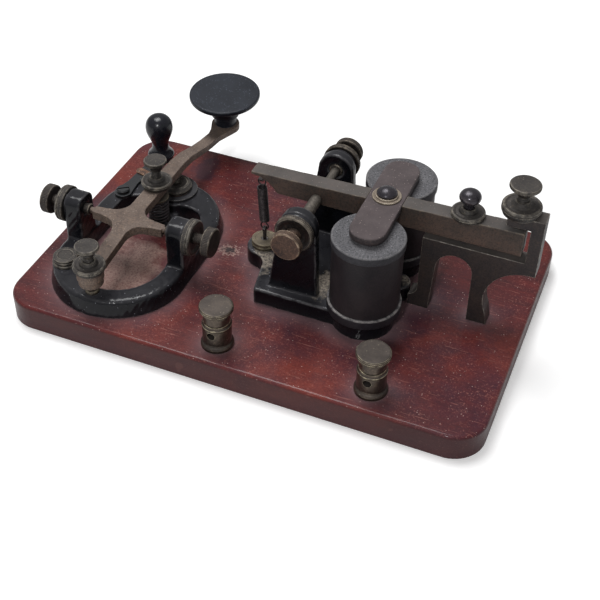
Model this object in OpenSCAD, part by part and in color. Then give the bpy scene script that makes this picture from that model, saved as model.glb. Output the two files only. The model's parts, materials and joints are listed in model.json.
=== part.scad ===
// Telegraph key and sounder on one board.
// Millimetres, +Z up. Origin at the middle of the board's underside.
// +X runs from the key to the sounder, +Y towards the key knob.

/* [Board] */
// Board length along X
board_length = 210; // [180:1:240]
// Board width along Y
board_width = 136; // [120:1:150]
// Board thickness
board_thick = 12; // [10:0.5:16]
// Radius of the upright corners
board_corner = 14; // [8:0.5:20]
// Radius of the rounded top edge
board_edge = 1.6; // [0.5:0.1:3]
// Width of the wire grooves under the board
groove_width = 3; // [2:0.5:5]
// Depth of the wire grooves under the board
groove_depth = 4; // [3:0.5:6]

/* [Key frame] */
// Centre plane of the key
key_x = -66; // [-70:0.5:-62]
// Radius of the frame's two round ends at the top
ring_r = 28; // [26:0.5:30]
// How far the outer wall leans out at the foot
ring_lean = 2.2; // [0:0.1:3]
// Y of the rear round end's centre
ring_rear_y = -32.5; // [-36:0.5:-30]
// Y of the front round end's centre
ring_front_y = 1.5; // [0:0.5:5]
// Height of the frame plate
ring_height = 8; // [6:0.5:10]
// Radius of the opening in the frame
ring_open_r = 20; // [18:0.5:22]
// Y of the wall that closes the opening
ring_wall_y = 12; // [8:0.5:15]
// Thickness of the key's uprights along X
key_upright_thick = 8; // [6:0.5:10]
// Depth of the key's uprights along Y
key_upright_deep = 12; // [9:0.5:14]
// Top of the key's uprights
key_upright_top = 40.5; // [38:0.5:43]
// Half the space between the key's uprights
key_upright_in = 20.5; // [19:0.5:22]

/* [Key lever] */
// Y of the key's trunnion axis
key_axis_y = -22.5; // [-25:0.5:-20]
// Height of the key's trunnion axis
key_axis_z = 33.8; // [32:0.1:36]
// Width of the lever's rear arm
lever_rear_width = 6.6; // [5:0.1:8]
// Width of the lever's front arm
lever_front_width = 7; // [5:0.1:9]
// Thickness of the lever at the cross
lever_thick = 4; // [3:0.1:5]
// Y of the contact under the lever
contact_y = 21; // [18:0.5:24]
// Gap between the two contacts at rest
contact_gap = 0.8; // [0.3:0.05:1.2]
// Y of the spring tension screw
tension_y = 4; // [0:0.5:8]
// Y of the gap screw at the rear
gap_y = -55.9; // [-58:0.1:-54]
// Y of the knob
knob_y = 75.6; // [73:0.1:80]
// Diameter of the knob
knob_dia = 34.2; // [30:0.2:38]
// Height of the knob's top
knob_top = 42; // [40:0.5:44]

/* [Closer] */
// X of the closer's pivot
closer_x = -87; // [-89:0.5:-85]
// Y of the closer's pivot
closer_y = 9; // [6:0.5:11]
// X of the closer's handle
handle_x = -84.3; // [-88:0.1:-82]
// Y of the closer's handle
handle_y = 41.7; // [38:0.1:45]
// Thickness of the closer's blade
blade_thick = 1.6; // [1:0.1:2.5]

/* [Sounder frame] */
// Centre plane of the sounder
sounder_y = 1.6; // [0:0.1:3]
// Half width of the casting across the feet
casting_half = 29.3; // [27:0.1:31]
// Height of the casting's plate
casting_height = 8; // [6:0.5:10]
// Space between the sounder's uprights
fork_gap = 38.6; // [36:0.2:40]
// Middle plane of the sounder's uprights
fork_y = 0.6; // [-1:0.1:2]
// Thickness of the sounder's uprights
fork_thick = 4.4; // [4:0.1:6]
// How far the boss stands out of each upright
fork_boss = 2.1; // [1:0.1:3]
// X of the sounder's trunnion axis
axis_x = 12.2; // [11:0.1:14]
// Height of the sounder's trunnion axis
axis_z = 54.1; // [53:0.1:56]
// Radius of the round top of the uprights
fork_top_r = 7.9; // [7:0.1:9]

/* [Sounder lever] */
// Width of the sounder's lever
bar_width = 7.5; // [6:0.1:9]
// Left end of the lever
bar_left = -17.3; // [-19:0.1:-15]
// Distance of the lever's right end from the anvil's right face
bar_in = 7.1; // [6:0.1:9]
// Top of the lever at its left end
bar_high_left = 60; // [59:0.1:61]
// Top of the lever at its right end
bar_high_right = 62.9; // [62:0.1:64]
// Underside of the lever
bar_low = 51.7; // [50:0.1:54]
// Gap under the down-stop screw at rest
strike_gap = 0.8; // [0.4:0.05:1.5]
// Distance of the down-stop screw from the anvil's right face
strike_in = 30.9; // [28:0.1:34]
// Distance of the up-stop screw from the anvil's right face
back_in = 10.7; // [9:0.1:12]

/* [Electromagnet] */
// X of the two coils
coil_x = 40.9; // [38:0.1:44]
// Distance between the coils
coil_pitch = 41.6; // [38:0.1:44]
// Diameter of the lower heads
coil_low_dia = 31; // [28:0.1:33]
// Diameter of the upper heads
coil_high_dia = 30.2; // [28:0.1:32]
// Diameter of the covers
coil_cover_dia = 29; // [26:0.1:30]
// Top of the lower heads
coil_low_top = 24.6; // [23:0.1:27]
// Underside of the upper heads
coil_high_low = 53; // [51:0.1:54]
// Top of the upper heads
coil_top = 57; // [55:0.1:58]
// Diameter of the iron cores
core_dia = 9.5; // [8:0.1:11]
// Thickness of the armature
armature_thick = 3.5; // [3:0.1:4]
// Top of the armature
armature_top = 61.6; // [61:0.1:62.5]
// Width of the armature along X
armature_width = 15.1; // [13:0.1:17]
// Length of the armature along Y
armature_length = 56; // [52:0.5:60]
// Middle of the armature along Y
armature_y = 0.4; // [-1:0.1:2]

/* [Anvil] */
// Thickness of the anvil along Y
anvil_thick = 7.6; // [6:0.1:9]
// Top of the anvil's beam under the lever
anvil_beam = 49; // [47:0.1:50]
// Top of the anvil's arm over the lever
anvil_top = 70.2; // [68:0.1:72]
// Underside of the anvil's arm
anvil_arm_low = 65; // [64:0.1:67]
// How far the anvil's right face stands past the board's end
anvil_past = 0.4; // [-2:0.1:2]

/* [Binding posts] */
// X of the left post
post_left_x = -8.7; // [-12:0.1:-5]
// X of the right post
post_right_x = 57.5; // [54:0.1:60]
// Y of both posts
post_y = -56; // [-58:0.5:-52]
// Bore that takes the line wire
wire_bore = 3; // [2:0.1:4]

/* [Springs] */
// Wire of the key's spring
key_wire = 0.9; // [0.6:0.05:1.2]
// Outer diameter of the key's spring
key_coil_dia = 9.4; // [8:0.1:11]
// Turns of the key's spring
key_turns = 7; // [5:1:9]
// Wire of the sounder's spring
pull_wire = 0.6; // [0.4:0.05:0.8]
// Outer diameter of the sounder's spring
pull_coil_dia = 4.4; // [3.8:0.1:5]
// Turns of the sounder's spring
pull_turns = 17; // [12:1:20]
// Pitch of the sounder's spring
pull_pitch = 1.05; // [1.02:0.01:1.3]

/* [Fits] */
// Radial clearance of parts that turn in a bore
running = 0.05; // [0.02:0.01:0.1]

/* [Hidden] */
$fn = 96;

deck = board_thick;
ring_top = deck + ring_height;
casting_top = deck + casting_height;
coil_near_y = sounder_y - coil_pitch / 2;
coil_far_y = sounder_y + coil_pitch / 2;
shank_r = 2.25;
trunnion_r = 2.5;
contact_low_z = 26.6;
lever_seat = 34.6;
pad_top = 25;
contact_high_z = contact_low_z + contact_gap;
stop_z = ring_top + 2;
spring_seat_z = deck + 3;
spring_cap_z = 27.6;
closer_angle = -atan((handle_x - closer_x) / (handle_y - closer_y));
closer_reach = norm([handle_x - closer_x, handle_y - closer_y]);
strap_z = ring_top + blade_thick;
strap_thick = 0.8;
lobe_x = -12.7;
lobe_r = 7.7;
eye_x = -13.9;
eye_z = 55;
arbor_r = 1.85;
sounder_screw_r = 3;
nut_thick = 2.7;
nut_face = fork_gap / 2 + fork_thick + fork_boss;
anvil_right = board_length / 2 + anvil_past;
anvil_foot = anvil_right - 50.7;
bar_right = anvil_right - bar_in;
strike_x = anvil_right - strike_in;
back_x = anvil_right - back_in;

// Height of the sounder lever's top at a place along X
function bar_top(x) = bar_high_left
  + (x - bar_left) * (bar_high_right - bar_high_left) / (bar_right - bar_left);

// Points along an arc, both ends among them
function arc(c, r, from, to, steps) = [for (i = [0 : steps])
  let (a = from + (to - from) * i / steps) c + r * [cos(a), sin(a)]];

// Point where a line from p touches the circle c, r
function touch(p, c, r, side) =
  let (d = norm(c - p), a = atan2(c.y - p.y, c.x - p.x), b = asin(r / d), l = sqrt(d * d - r * r))
  p + l * [cos(a + side * b), sin(a + side * b)];

module along_x() rotate([0, 90, 0]) children();
module along_y() rotate([-90, 0, 0]) children();

// Disc with both edges broken, standing on z = 0
module disc(d, h, edge = 0.3) {
  cylinder(d1 = d - 2 * edge, d2 = d, h = edge);
  translate([0, 0, edge]) cylinder(d = d, h = h - 2 * edge);
  translate([0, 0, h - edge]) cylinder(d1 = d, d2 = d - 2 * edge, h = edge);
}

// Round nut with a dished outer face
module locknut(d, h, bore_r) {
  difference() {
    disc(d, h, 0.4);
    translate([0, 0, -1]) cylinder(r = bore_r, h = h + 2);
    translate([0, 0, h - 0.6]) cylinder(d1 = d * 0.62, d2 = d * 0.8, h = 0.7);
  }
}

// Screw standing on its tip, with a knurled flat head
module knurled_screw(length, head_d, head_h, r = shank_r) {
  cylinder(r1 = r - 0.5, r2 = r, h = 0.5);
  translate([0, 0, 0.5]) cylinder(r = r, h = length - head_h - 0.5);
  translate([0, 0, length - head_h - 1.4]) cylinder(r1 = r, r2 = r + 1.4, h = 1.4);
  translate([0, 0, length - head_h]) disc(head_d, head_h, 0.4);
}

// Ring made of evenly turned copies of one closed tube section
module tube(path, r, sides = 6) {
  n = len(path);
  rings = [for (i = [0 : n - 1])
    let (
      a = path[max(i - 1, 0)], b = path[min(i + 1, n - 1)],
      t = (b - a) / norm(b - a),
      ref = path_side(path, i, t),
      u = cross(t, ref), v = cross(t, u)
    )
    for (k = [0 : sides - 1]) path[i] + r * (cos(360 * k / sides) * u / norm(u)
      + sin(360 * k / sides) * v / norm(v))];
  skin = [for (i = [0 : n - 2], k = [0 : sides - 1])
    let (a = i * sides + k, b = i * sides + (k + 1) % sides)
    each [[a, b, b + sides], [a, b + sides, a + sides]]];
  start = [for (k = [1 : sides - 2]) [0, k + 1, k]];
  end = [for (k = [1 : sides - 2]) [(n - 1) * sides, (n - 1) * sides + k, (n - 1) * sides + k + 1]];
  polyhedron(rings, concat(skin, start, end));
}

// Steady side direction for a tube that winds about the z axis
function path_side(path, i, t) = [0, 0, 1]
  + 0.35 * [path[i].x, path[i].y, 0] / max(norm([path[i].x, path[i].y]), 0.5);

// Least distance between parts of one path that lie more than a few rings apart
function self_gap(path, skip) = min([for (i = [0 : len(path) - 1])
  min(concat([1000], [for (j = [i + skip : 1 : len(path) - 1]) norm(path[i] - path[j])]))]);

/* Board and what lies under it */

module board_section(l) {
  translate([-l / 2, 0]) square([l, board_thick - board_edge]);
  translate([-l / 2 + board_edge, 0]) square([l - 2 * board_edge, board_thick]);
  for (s = [-1, 1]) translate([s * (l / 2 - board_edge), board_thick - board_edge]) circle(board_edge);
}

module board_corner_section() {
  square([board_corner, board_thick - board_edge]);
  square([board_corner - board_edge, board_thick]);
  translate([board_corner - board_edge, board_thick - board_edge]) circle(board_edge);
}

wire_runs = [
  [[post_left_x, post_y], [post_left_x, -48], [key_x + 24, -48]],
  [[key_x, contact_y], [key_x + 34, contact_y], [key_x + 34, coil_far_y + 18], [coil_x, coil_far_y + 18]],
  [[coil_x + 14, coil_near_y], [post_right_x, coil_near_y], [post_right_x, post_y]]
];

module wire_run(points, w) {
  for (i = [0 : len(points) - 2]) {
    a = points[i];
    b = points[i + 1];
    translate([min(a.x, b.x) - w / 2, min(a.y, b.y) - w / 2])
      square([abs(a.x - b.x) + w, abs(a.y - b.y) + w]);
  }
}

bolt_places = [
  [key_x + 17, ring_rear_y - 17, ring_height], [key_x - 20, 18, ring_height], [key_x + 24, 2, ring_height],
  [-1, sounder_y - 25, casting_height], [-1, sounder_y + 25, casting_height],
  [50, sounder_y, casting_height],
  [anvil_right - 44.9, sounder_y, 9], [anvil_right - 20.5, sounder_y, 9],
  [coil_x, coil_near_y, casting_height + 4], [coil_x, coil_far_y, casting_height + 4],
  [post_left_x, post_y, 5], [post_right_x, post_y, 5]
];
bolt_r = 1.6;
bolt_head = 6.4;
bolt_sink = 3.2;

module base_board() color("saddlebrown") {
  difference() {
    union() {
      rotate([90, 0, 0])
        linear_extrude(board_width - 2 * board_corner, center = true) board_section(board_length);
      rotate([90, 0, 90])
        linear_extrude(board_length - 2 * board_corner, center = true) board_section(board_width);
      for (x = [-1, 1], y = [-1, 1])
        translate([x * (board_length / 2 - board_corner), y * (board_width / 2 - board_corner), 0])
          rotate_extrude() board_corner_section();
    }
    for (p = bolt_places) translate([p.x, p.y, -1]) {
      cylinder(r = bolt_r, h = board_thick + 2);
      cylinder(d = bolt_head + 0.6, h = 1 + bolt_sink);
    }
    for (run = wire_runs) translate([0, 0, -1]) linear_extrude(1 + groove_depth) wire_run(run, groove_width);
    translate([key_x, contact_y, -1]) cylinder(d = 9, h = 1 + 7);
    translate([key_x, contact_y, -1]) cylinder(r = 2.2, h = board_thick + 2);
  }
}

module hookup_wires() color("darkolivegreen") {
  wire_r = 0.9;
  $fn = 24;
  for (run = wire_runs, i = [0 : len(run) - 2]) {
    a = run[i];
    b = run[i + 1];
    // Runs meet at the corners and stop short of the bolts
    back = i == 0 ? 5 : -wire_r;
    front = i == len(run) - 2 ? 5 : -wire_r;
    translate([a.x, a.y, groove_depth - wire_r]) rotate([0, 90, atan2(b.y - a.y, b.x - a.x)])
      translate([0, 0, back]) cylinder(r = wire_r, h = norm(b - a) - back - front);
  }
}

module frame_bolts() color("dimgray") {
  for (p = bolt_places) translate([p.x, p.y, bolt_sink - 1.8]) {
    difference() {
      union() {
        cylinder(d = bolt_head, h = 1.8);
        cylinder(r = bolt_r, h = board_thick + p.z - bolt_sink - 0.7);
      }
      translate([-4, -0.4, -1]) cube([8, 0.8, 1.8]);
    }
  }
}

/* Key */

module ring_section() {
  polygon([[0, 0], [ring_r + ring_lean, 0], [ring_r + ring_lean * 0.2, ring_height - 1.2],
    [ring_r - 0.3, ring_height - 0.35], [ring_r - 1.2, ring_height], [0, ring_height]]);
}

module key_plate() translate([key_x, 0, deck]) {
  for (y = [ring_rear_y, ring_front_y]) translate([0, y, 0]) rotate_extrude() ring_section();
  translate([0, ring_front_y, 0]) rotate([90, 0, 0]) linear_extrude(ring_front_y - ring_rear_y) {
    ring_section();
    mirror([1, 0]) ring_section();
  }
}

module key_opening() {
  corner = 9;
  difference() {
    union() {
      translate([key_x, ring_rear_y]) circle(ring_open_r);
      translate([key_x - ring_open_r, ring_rear_y])
        square([2 * ring_open_r, ring_wall_y - corner - ring_rear_y]);
      translate([key_x - ring_open_r + corner, ring_rear_y])
        square([2 * (ring_open_r - corner), ring_wall_y - ring_rear_y]);
      for (s = [-1, 1]) translate([key_x + s * (ring_open_r - corner), ring_wall_y - corner]) circle(corner);
    }
    translate([key_x, contact_y]) circle(11);
  }
}

module key_upright() {
  r = 4.5;
  y = key_axis_y - key_upright_deep / 2;
  // Side view in Y and Z, pushed along X
  rotate([90, 0, 90]) linear_extrude(key_upright_thick) {
    translate([y, deck + 1]) square([key_upright_deep, key_upright_top - deck - 1 - r]);
    translate([y + r, deck + 1]) square([key_upright_deep - 2 * r, key_upright_top - deck - 1]);
    for (d = [r, key_upright_deep - r]) translate([y + d, key_upright_top - r]) circle(r);
  }
}

module key_frame() color([0.08, 0.08, 0.1]) {
  difference() {
    union() {
      difference() {
        key_plate();
        translate([0, 0, deck - 1]) linear_extrude(ring_height + 2) key_opening();
      }
      translate([key_x + key_upright_in, 0, 0]) key_upright();
      translate([key_x - key_upright_in - key_upright_thick, 0, 0]) key_upright();
      // Pad under the terminal screw and the tongue that carries the spring
      translate([-86, -43.5, deck]) cylinder(r = 6, h = ring_height);
      translate([key_x - 6, tension_y, deck]) cube([12, ring_wall_y - tension_y + 2, 3]);
      translate([key_x, tension_y, deck]) cylinder(r = 6, h = 3);
      translate([key_x, tension_y, deck]) cylinder(r = 3.2, h = 4.2);
    }
    translate([key_x - 40, key_axis_y, key_axis_z]) along_x() cylinder(r = trunnion_r + running, h = 80);
    translate([key_x, contact_y, deck - 1]) cylinder(r = 4, h = ring_height + 2);
    translate([closer_x, closer_y, deck - 1]) cylinder(r = 1.5, h = ring_height + 2);
    translate([-86, -43.5, deck - 1]) cylinder(r = 2, h = ring_height + 2);
    translate([key_x, gap_y, deck - 1]) cylinder(r = 1.5, h = ring_height + 2);
    for (p = bolt_places) translate([p.x, p.y, deck - 1]) cylinder(r = bolt_r, h = p.z - 1);
  }
}

module frame_terminal_screw() color("darkkhaki") translate([-86, -43.5, 0]) {
  difference() {
    union() {
      translate([0, 0, deck + 0.5]) cylinder(r = 2, h = ring_height);
      translate([0, 0, ring_top]) disc(11.5, 1.4, 0.3);
      translate([0, 0, ring_top + 1.4]) disc(10.6, 2.6, 0.5);
    }
    rotate(20) translate([-7, -0.5, ring_top + 3]) cube([14, 1, 2]);
  }
}

module rest_anvil() color("goldenrod") translate([key_x, gap_y, 0]) {
  translate([0, 0, deck + 2]) cylinder(r = 1.5, h = ring_height - 2);
  translate([0, 0, ring_top]) disc(6, 2, 0.3);
}

// Trunnion screw along +X: cup end at 0, knurled head at the far end
module trunnion_screw(length, head_d, head_h, r, cup_r, cup) {
  difference() {
    union() {
      cylinder(r = r, h = length - head_h);
      translate([0, 0, length - head_h - 1]) cylinder(r1 = r, r2 = r + 1, h = 1);
      translate([0, 0, length - head_h]) disc(head_d, head_h, 0.5);
    }
    translate([0, 0, -1]) cylinder(r = cup_r, h = cup + 1);
  }
}

module key_trunnion_screw_right() color("darkkhaki")
  translate([key_x + 18.2, key_axis_y, key_axis_z]) along_x()
    trunnion_screw(22.5, 12.9, 4, trunnion_r, 1.3 + running, 1.8);

module key_trunnion_screw_left() color("darkkhaki")
  translate([key_x - 18.2, key_axis_y, key_axis_z]) rotate([0, -90, 0])
    trunnion_screw(22.2, 12.9, 3.9, trunnion_r, 1.3 + running, 1.8);

module key_locknuts() color("darkkhaki") {
  out = key_upright_in + key_upright_thick;
  translate([key_x + out, key_axis_y, key_axis_z]) along_x() locknut(16, 3.7, trunnion_r + running);
  translate([key_x - out, key_axis_y, key_axis_z]) rotate([0, -90, 0]) locknut(16, 3.7, trunnion_r + running);
}

// Quarter-round web between two arms, corner at the origin
module web(r) {
  difference() {
    translate([-0.5, -0.5]) square(r + 0.5);
    translate([r, r]) circle(r);
  }
}

module key_lever_plan() {
  arm = 16.7;
  // Rear and front arms
  translate([-lever_rear_width / 2, gap_y]) square([lever_rear_width, key_axis_y - gap_y]);
  translate([0, gap_y]) circle(5.75);
  polygon([[-3.75, key_axis_y], [-3.75, -10], [-3.75, 6], [-lever_front_width / 2, 20], [-3.1, 42],
    [-3.1, knob_y - 13], [-4.2, knob_y - 8], [-6.4, knob_y - 2.3], [6.4, knob_y - 2.3],
    [4.2, knob_y - 8], [3.1, knob_y - 13], [3.1, 42], [lever_front_width / 2, 20],
    [3.75, 6], [3.75, -10], [3.75, key_axis_y]]);
  translate([0, knob_y]) circle(6.8);
  // Side arms with their webs
  polygon([[-arm, key_axis_y - 2], [-3, key_axis_y - 3.4], [3, key_axis_y - 3.4], [arm, key_axis_y - 2],
    [arm, key_axis_y + 2], [3, key_axis_y + 3.4], [-3, key_axis_y + 3.4], [-arm, key_axis_y + 2]]);
  for (x = [0, 1]) mirror([x, 0]) {
    translate([3.6, key_axis_y + 2.9]) web(7.5);
    translate([3.2, key_axis_y - 2.9]) mirror([0, 1]) web(7.5);
  }
}

module key_lever_side() {
  t = lever_thick;
  polygon([[gap_y - 8, 32], [gap_y + 8, 32], [-34, 33.4], [-27, 34.9], [tension_y - 8, lever_seat],
    [tension_y + 8, lever_seat], [24, 34.4], [33, 33], [43, 29.9], [53, 27.4],
    [knob_y - 12, 25.5], [knob_y - 8, pad_top], [knob_y + 9, pad_top], [knob_y + 9, 21.8],
    [knob_y - 8, 21.8], [knob_y - 12, 22.4], [53, 24.2], [43, 26.6],
    [33, 29.4], [25, 30.4], [-26, 34.8 - t], [-32, 29.6], [gap_y + 8, 28], [gap_y - 8, 28]]);
}

module key_lever() color([0.55, 0.48, 0.4]) {
  difference() {
    union() {
      intersection() {
        translate([key_x, 0, 10]) linear_extrude(40) key_lever_plan();
        translate([key_x - 30, 0, 0]) rotate([90, 0, 90]) linear_extrude(60) key_lever_side();
      }
      translate([key_x, gap_y, 24.8]) cylinder(r = 5.2, h = 4.2);
      // Pivot points at the tips of the side arms
      translate([key_x - 19.2, key_axis_y, key_axis_z]) along_x() cylinder(r = 1.3, h = 38.4);
    }
    translate([key_x, tension_y, 20]) cylinder(r = shank_r + running, h = 20);
    translate([key_x, gap_y, 20]) cylinder(r = shank_r + running, h = 20);
    translate([key_x, contact_y, 20]) cylinder(r = 1.5, h = 13);
    translate([key_x, knob_y, 15]) cylinder(r = 2, h = 20);
  }
}

module lever_contact() color("silver") translate([key_x, contact_y, 0]) {
  translate([0, 0, contact_high_z]) cylinder(r = 1.25, h = 1);
  translate([0, 0, contact_high_z + 1]) cylinder(r1 = 2.6, r2 = 3.1, h = 29.36 - contact_high_z);
  translate([0, 0, 30]) cylinder(r = 1.5, h = 3);
}

module key_knob() color([0.1, 0.1, 0.11]) {
  r = knob_dia / 2;
  low = pad_top + 0.03;
  translate([key_x, knob_y, 0]) difference() {
    rotate_extrude() polygon([[0, low], [6.1, low], [6.3, low + 0.5], [6.3, low + 3.2], [5.7, low + 4.2],
      [5.9, low + 8.4], [6.8, low + 11.2], [8.8, low + 12.9],
      [r - 1.2, knob_top - 2.1], [r - 0.3, knob_top - 1.5],
      [r, knob_top - 0.9], [r - 0.3, knob_top - 0.35], [r - 1.2, knob_top], [0, knob_top]]);
    translate([0, 0, low - 1]) cylinder(r = 2, h = 9.5);
  }
}

module knob_screw() color("dimgray") translate([key_x, knob_y, 0]) {
  difference() {
    union() {
      translate([0, 0, 20.15]) disc(7.6, 1.62, 0.5);
      translate([0, 0, 21]) cylinder(r = 2, h = 11);
    }
    translate([-5, -0.5, 19]) cube([10, 1, 1.85]);
  }
}

module tension_screw() color("darkkhaki") translate([key_x, tension_y, spring_cap_z + 1])
  knurled_screw(48.3 - spring_cap_z - 1, 10.2, 4);

module tension_locknut() color("darkkhaki") translate([key_x, tension_y, lever_seat + 0.02])
  locknut(13.8, 37.68 - lever_seat, shank_r + running);

module spring_cap() color("darkkhaki") translate([key_x, tension_y, spring_cap_z]) {
  difference() {
    disc(9.8, 1, 0.2);
    translate([0, 0, 0.5]) cylinder(r = shank_r + 0.2, h = 1);
  }
  translate([0, 0, -1]) cylinder(r = 3.2, h = 1.1);
}

key_coil_r = (key_coil_dia - key_wire) / 2;
key_coil_low = spring_seat_z + key_wire / 2 + 0.02;
key_coil_high = spring_cap_z - key_wire / 2 - 0.02;
key_coil_steps = key_turns * 8;
key_coil_path = concat(
  [[key_coil_r, -key_wire, key_coil_low]],
  [for (i = [0 : key_coil_steps]) [key_coil_r * cos(i * 45), key_coil_r * sin(i * 45),
    key_coil_low + (key_coil_high - key_coil_low) * i / key_coil_steps]],
  [[key_coil_r, key_wire, key_coil_high]]);

module key_spring() color("gray") translate([key_x, tension_y, 0]) tube(key_coil_path, key_wire / 2);

module gap_screw() color("darkkhaki") translate([key_x, gap_y, stop_z])
  knurled_screw(44.6 - stop_z, 10.2, 4);

module gap_locknut() color("darkkhaki") translate([key_x, gap_y, 32.02])
  locknut(13.8, 35.3 - 32.02, shank_r + running);

module contact_stud() color("silver") translate([key_x, contact_y, 0]) {
  translate([0, 0, 3]) cylinder(d = 7, h = 2.6);
  translate([0, 0, 5]) cylinder(r = 2, h = contact_low_z - 1 - 5);
  translate([0, 0, contact_low_z - 1]) cylinder(r = 1.4, h = 1);
}

module insulating_bush() color("black") translate([key_x, contact_y, deck]) difference() {
  cylinder(r = 4, h = ring_height);
  translate([0, 0, -1]) cylinder(r = 2, h = ring_height + 2);
}

module insulating_washer() color("black") translate([key_x, contact_y, ring_top]) difference() {
  disc(20, blade_thick, 0.2);
  translate([0, 0, -1]) cylinder(r = 2, h = 5);
}

module contact_nut() color("darkkhaki") translate([key_x, contact_y, strap_z + strap_thick]) difference() {
  union() {
    cylinder(d = 15, h = 1.4);
    translate([0, 0, 1.4]) cylinder(d1 = 15, d2 = 12.6, h = 1.2);
  }
  translate([0, 0, -1]) cylinder(r = 2, h = 5);
  translate([0, 0, 1.8]) cylinder(d1 = 8, d2 = 10.4, h = 1);
}

module contact_strap() color("peru") translate([key_x, contact_y, strap_z]) difference() {
  reach = 21.5;
  turn = atan2(26 - contact_y, 22);
  union() {
    cylinder(d = 14, h = strap_thick);
    rotate(180 - turn) translate([0, -2, 0]) cube([reach, 4, strap_thick]);
    rotate(180 - turn) translate([reach, 0, 0]) cylinder(r = 2, h = strap_thick);
  }
  translate([0, 0, -1]) cylinder(r = 2, h = 5);
}

module closer_blade() color("darkkhaki") translate([closer_x, closer_y, ring_top]) rotate(closer_angle) {
  difference() {
    union() {
      cylinder(r = 4, h = blade_thick);
      linear_extrude(blade_thick)
        polygon([[-4, 0], [-2.5, 8], [-2.5, closer_reach - 5], [2.5, closer_reach - 5], [2.5, 8], [4, 0]]);
      translate([0, closer_reach, 0]) cylinder(r = 5.6, h = blade_thick);
    }
    translate([0, 0, -1]) cylinder(r = 1.5 + running, h = 5);
    translate([0, closer_reach, -1]) cylinder(r = 1.4, h = 5);
  }
}

module closer_pivot() color("dimgray") translate([closer_x, closer_y, 0]) difference() {
  union() {
    translate([0, 0, deck + 2]) cylinder(r = 1.5, h = ring_height + blade_thick - 2);
    translate([0, 0, strap_z]) disc(6, 1.8, 0.5);
  }
  rotate(35) translate([-4, -0.4, strap_z + 1.1]) cube([8, 0.8, 1]);
}

module closer_handle() color([0.1, 0.1, 0.11]) translate([handle_x, handle_y, ring_top]) {
  difference() {
    union() {
      translate([0, 0, blade_thick]) rotate_extrude()
        polygon([[0, 0], [5.6, 0], [6, 0.8], [5.6, 1.8], [4.2, 3.4], [3.6, 5.4], [3.5, 7.4],
          [3.9, 9.6], [4.9, 12], [0, 16]]);
      translate([0, 0, 18.2]) sphere(6.3);
    }
    translate([0, 0, blade_thick - 1]) cylinder(r = 1.4, h = 9);
  }
  translate([0, 0, -0.6]) cylinder(r = 1.4, h = 8);
  translate([0, 0, -1.2]) cylinder(r = 2.4, h = 1.2);
}

/* Sounder */

module casting_plan() {
  hollow = [lobe_x - 2.6, 14.6];
  hollow_r = norm([2.6, 14.6]) - lobe_r;
  bend = atan2(14.6, -2.6);
  // Lobe and feet, with a hollow curve between them
  half = concat(arc([lobe_x, 0], lobe_r, 180, bend, 16), arc(hollow, hollow_r, bend - 180, 0, 16),
    [[hollow.x + hollow_r + 2.8, casting_half], [26.5, casting_half]]);
  last = len(half) - 1;
  polygon(concat(half, [for (i = [0 : last - 1]) [half[last - i].x, -half[last - i].y]]));
  // Wings that carry the coils, and the tongue between them
  for (s = [-1, 1]) translate([coil_x, s * coil_pitch / 2]) circle(13.2);
  translate([24, -casting_half]) square([coil_x - 24, 2 * casting_half]);
  translate([coil_x, -5.5]) square([anvil_foot - 5.8 - coil_x, 11]);
  translate([anvil_foot - 5.8, 0]) circle(5.5);
}

module fork_side() {
  c = [axis_x, axis_z];
  left = axis_x - 12.7;
  right = axis_x + 9;
  a = touch([left, casting_top], c, fork_top_r, 1);
  b = touch([right, casting_top], c, fork_top_r, -1);
  polygon(concat([[left, casting_top - 1], [left, casting_top]],
    arc(c, fork_top_r, atan2(a.y - c.y, a.x - c.x), atan2(b.y - c.y, b.x - c.x), 32),
    [[right, casting_top], [right, casting_top - 1]]));
}

module sounder_frame() color([0.08, 0.08, 0.1]) {
  difference() {
    union() {
      translate([0, sounder_y, deck]) linear_extrude(casting_height) casting_plan();
      for (s = [-1, 1]) translate([0, fork_y + s * (fork_gap / 2 + fork_thick / 2), 0])
        rotate([90, 0, 0]) linear_extrude(fork_thick, center = true) fork_side();
      translate([axis_x, fork_y - nut_face, axis_z]) along_y() cylinder(r = 7, h = fork_boss + 1);
      translate([axis_x, fork_y + nut_face, axis_z]) rotate([90, 0, 0]) cylinder(r = 7, h = fork_boss + 1);
    }
    translate([axis_x, fork_y - 40, axis_z]) along_y() cylinder(r = sounder_screw_r + running, h = 80);
    translate([lobe_x, sounder_y, deck - 1]) cylinder(r = 3 + running, h = casting_height + 2);
    translate([lobe_x, sounder_y, deck - 1]) cylinder(d = 8.4, h = 3.4);
    for (p = bolt_places) translate([p.x, p.y, deck - 1]) cylinder(r = bolt_r, h = p.z - 1);
    for (y = [coil_near_y, coil_far_y])
      translate([coil_x, y, deck - 1]) cylinder(r = bolt_r, h = casting_height + 2);
  }
}

sounder_screw_length = fork_thick + fork_boss + nut_thick + 8.3;

module sounder_trunnion_screw_near() color("darkkhaki")
  translate([axis_x, fork_y - fork_gap / 2, axis_z]) rotate([90, 0, 0])
    trunnion_screw(sounder_screw_length, 12.7, 3.3, sounder_screw_r, arbor_r + running, 1.6);

module sounder_trunnion_screw_far() color("darkkhaki")
  translate([axis_x, fork_y + fork_gap / 2, axis_z]) along_y()
    trunnion_screw(sounder_screw_length, 12.7, 3.3, sounder_screw_r, arbor_r + running, 1.6);

module sounder_locknuts() color("darkkhaki") translate([axis_x, fork_y, axis_z]) {
  nut_dia = 2 * fork_top_r + 0.6;
  bore_r = sounder_screw_r + running;
  translate([0, -nut_face, 0]) rotate([90, 0, 0]) locknut(nut_dia, nut_thick, bore_r);
  translate([0, nut_face, 0]) along_y() locknut(nut_dia, nut_thick, bore_r);
}

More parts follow.
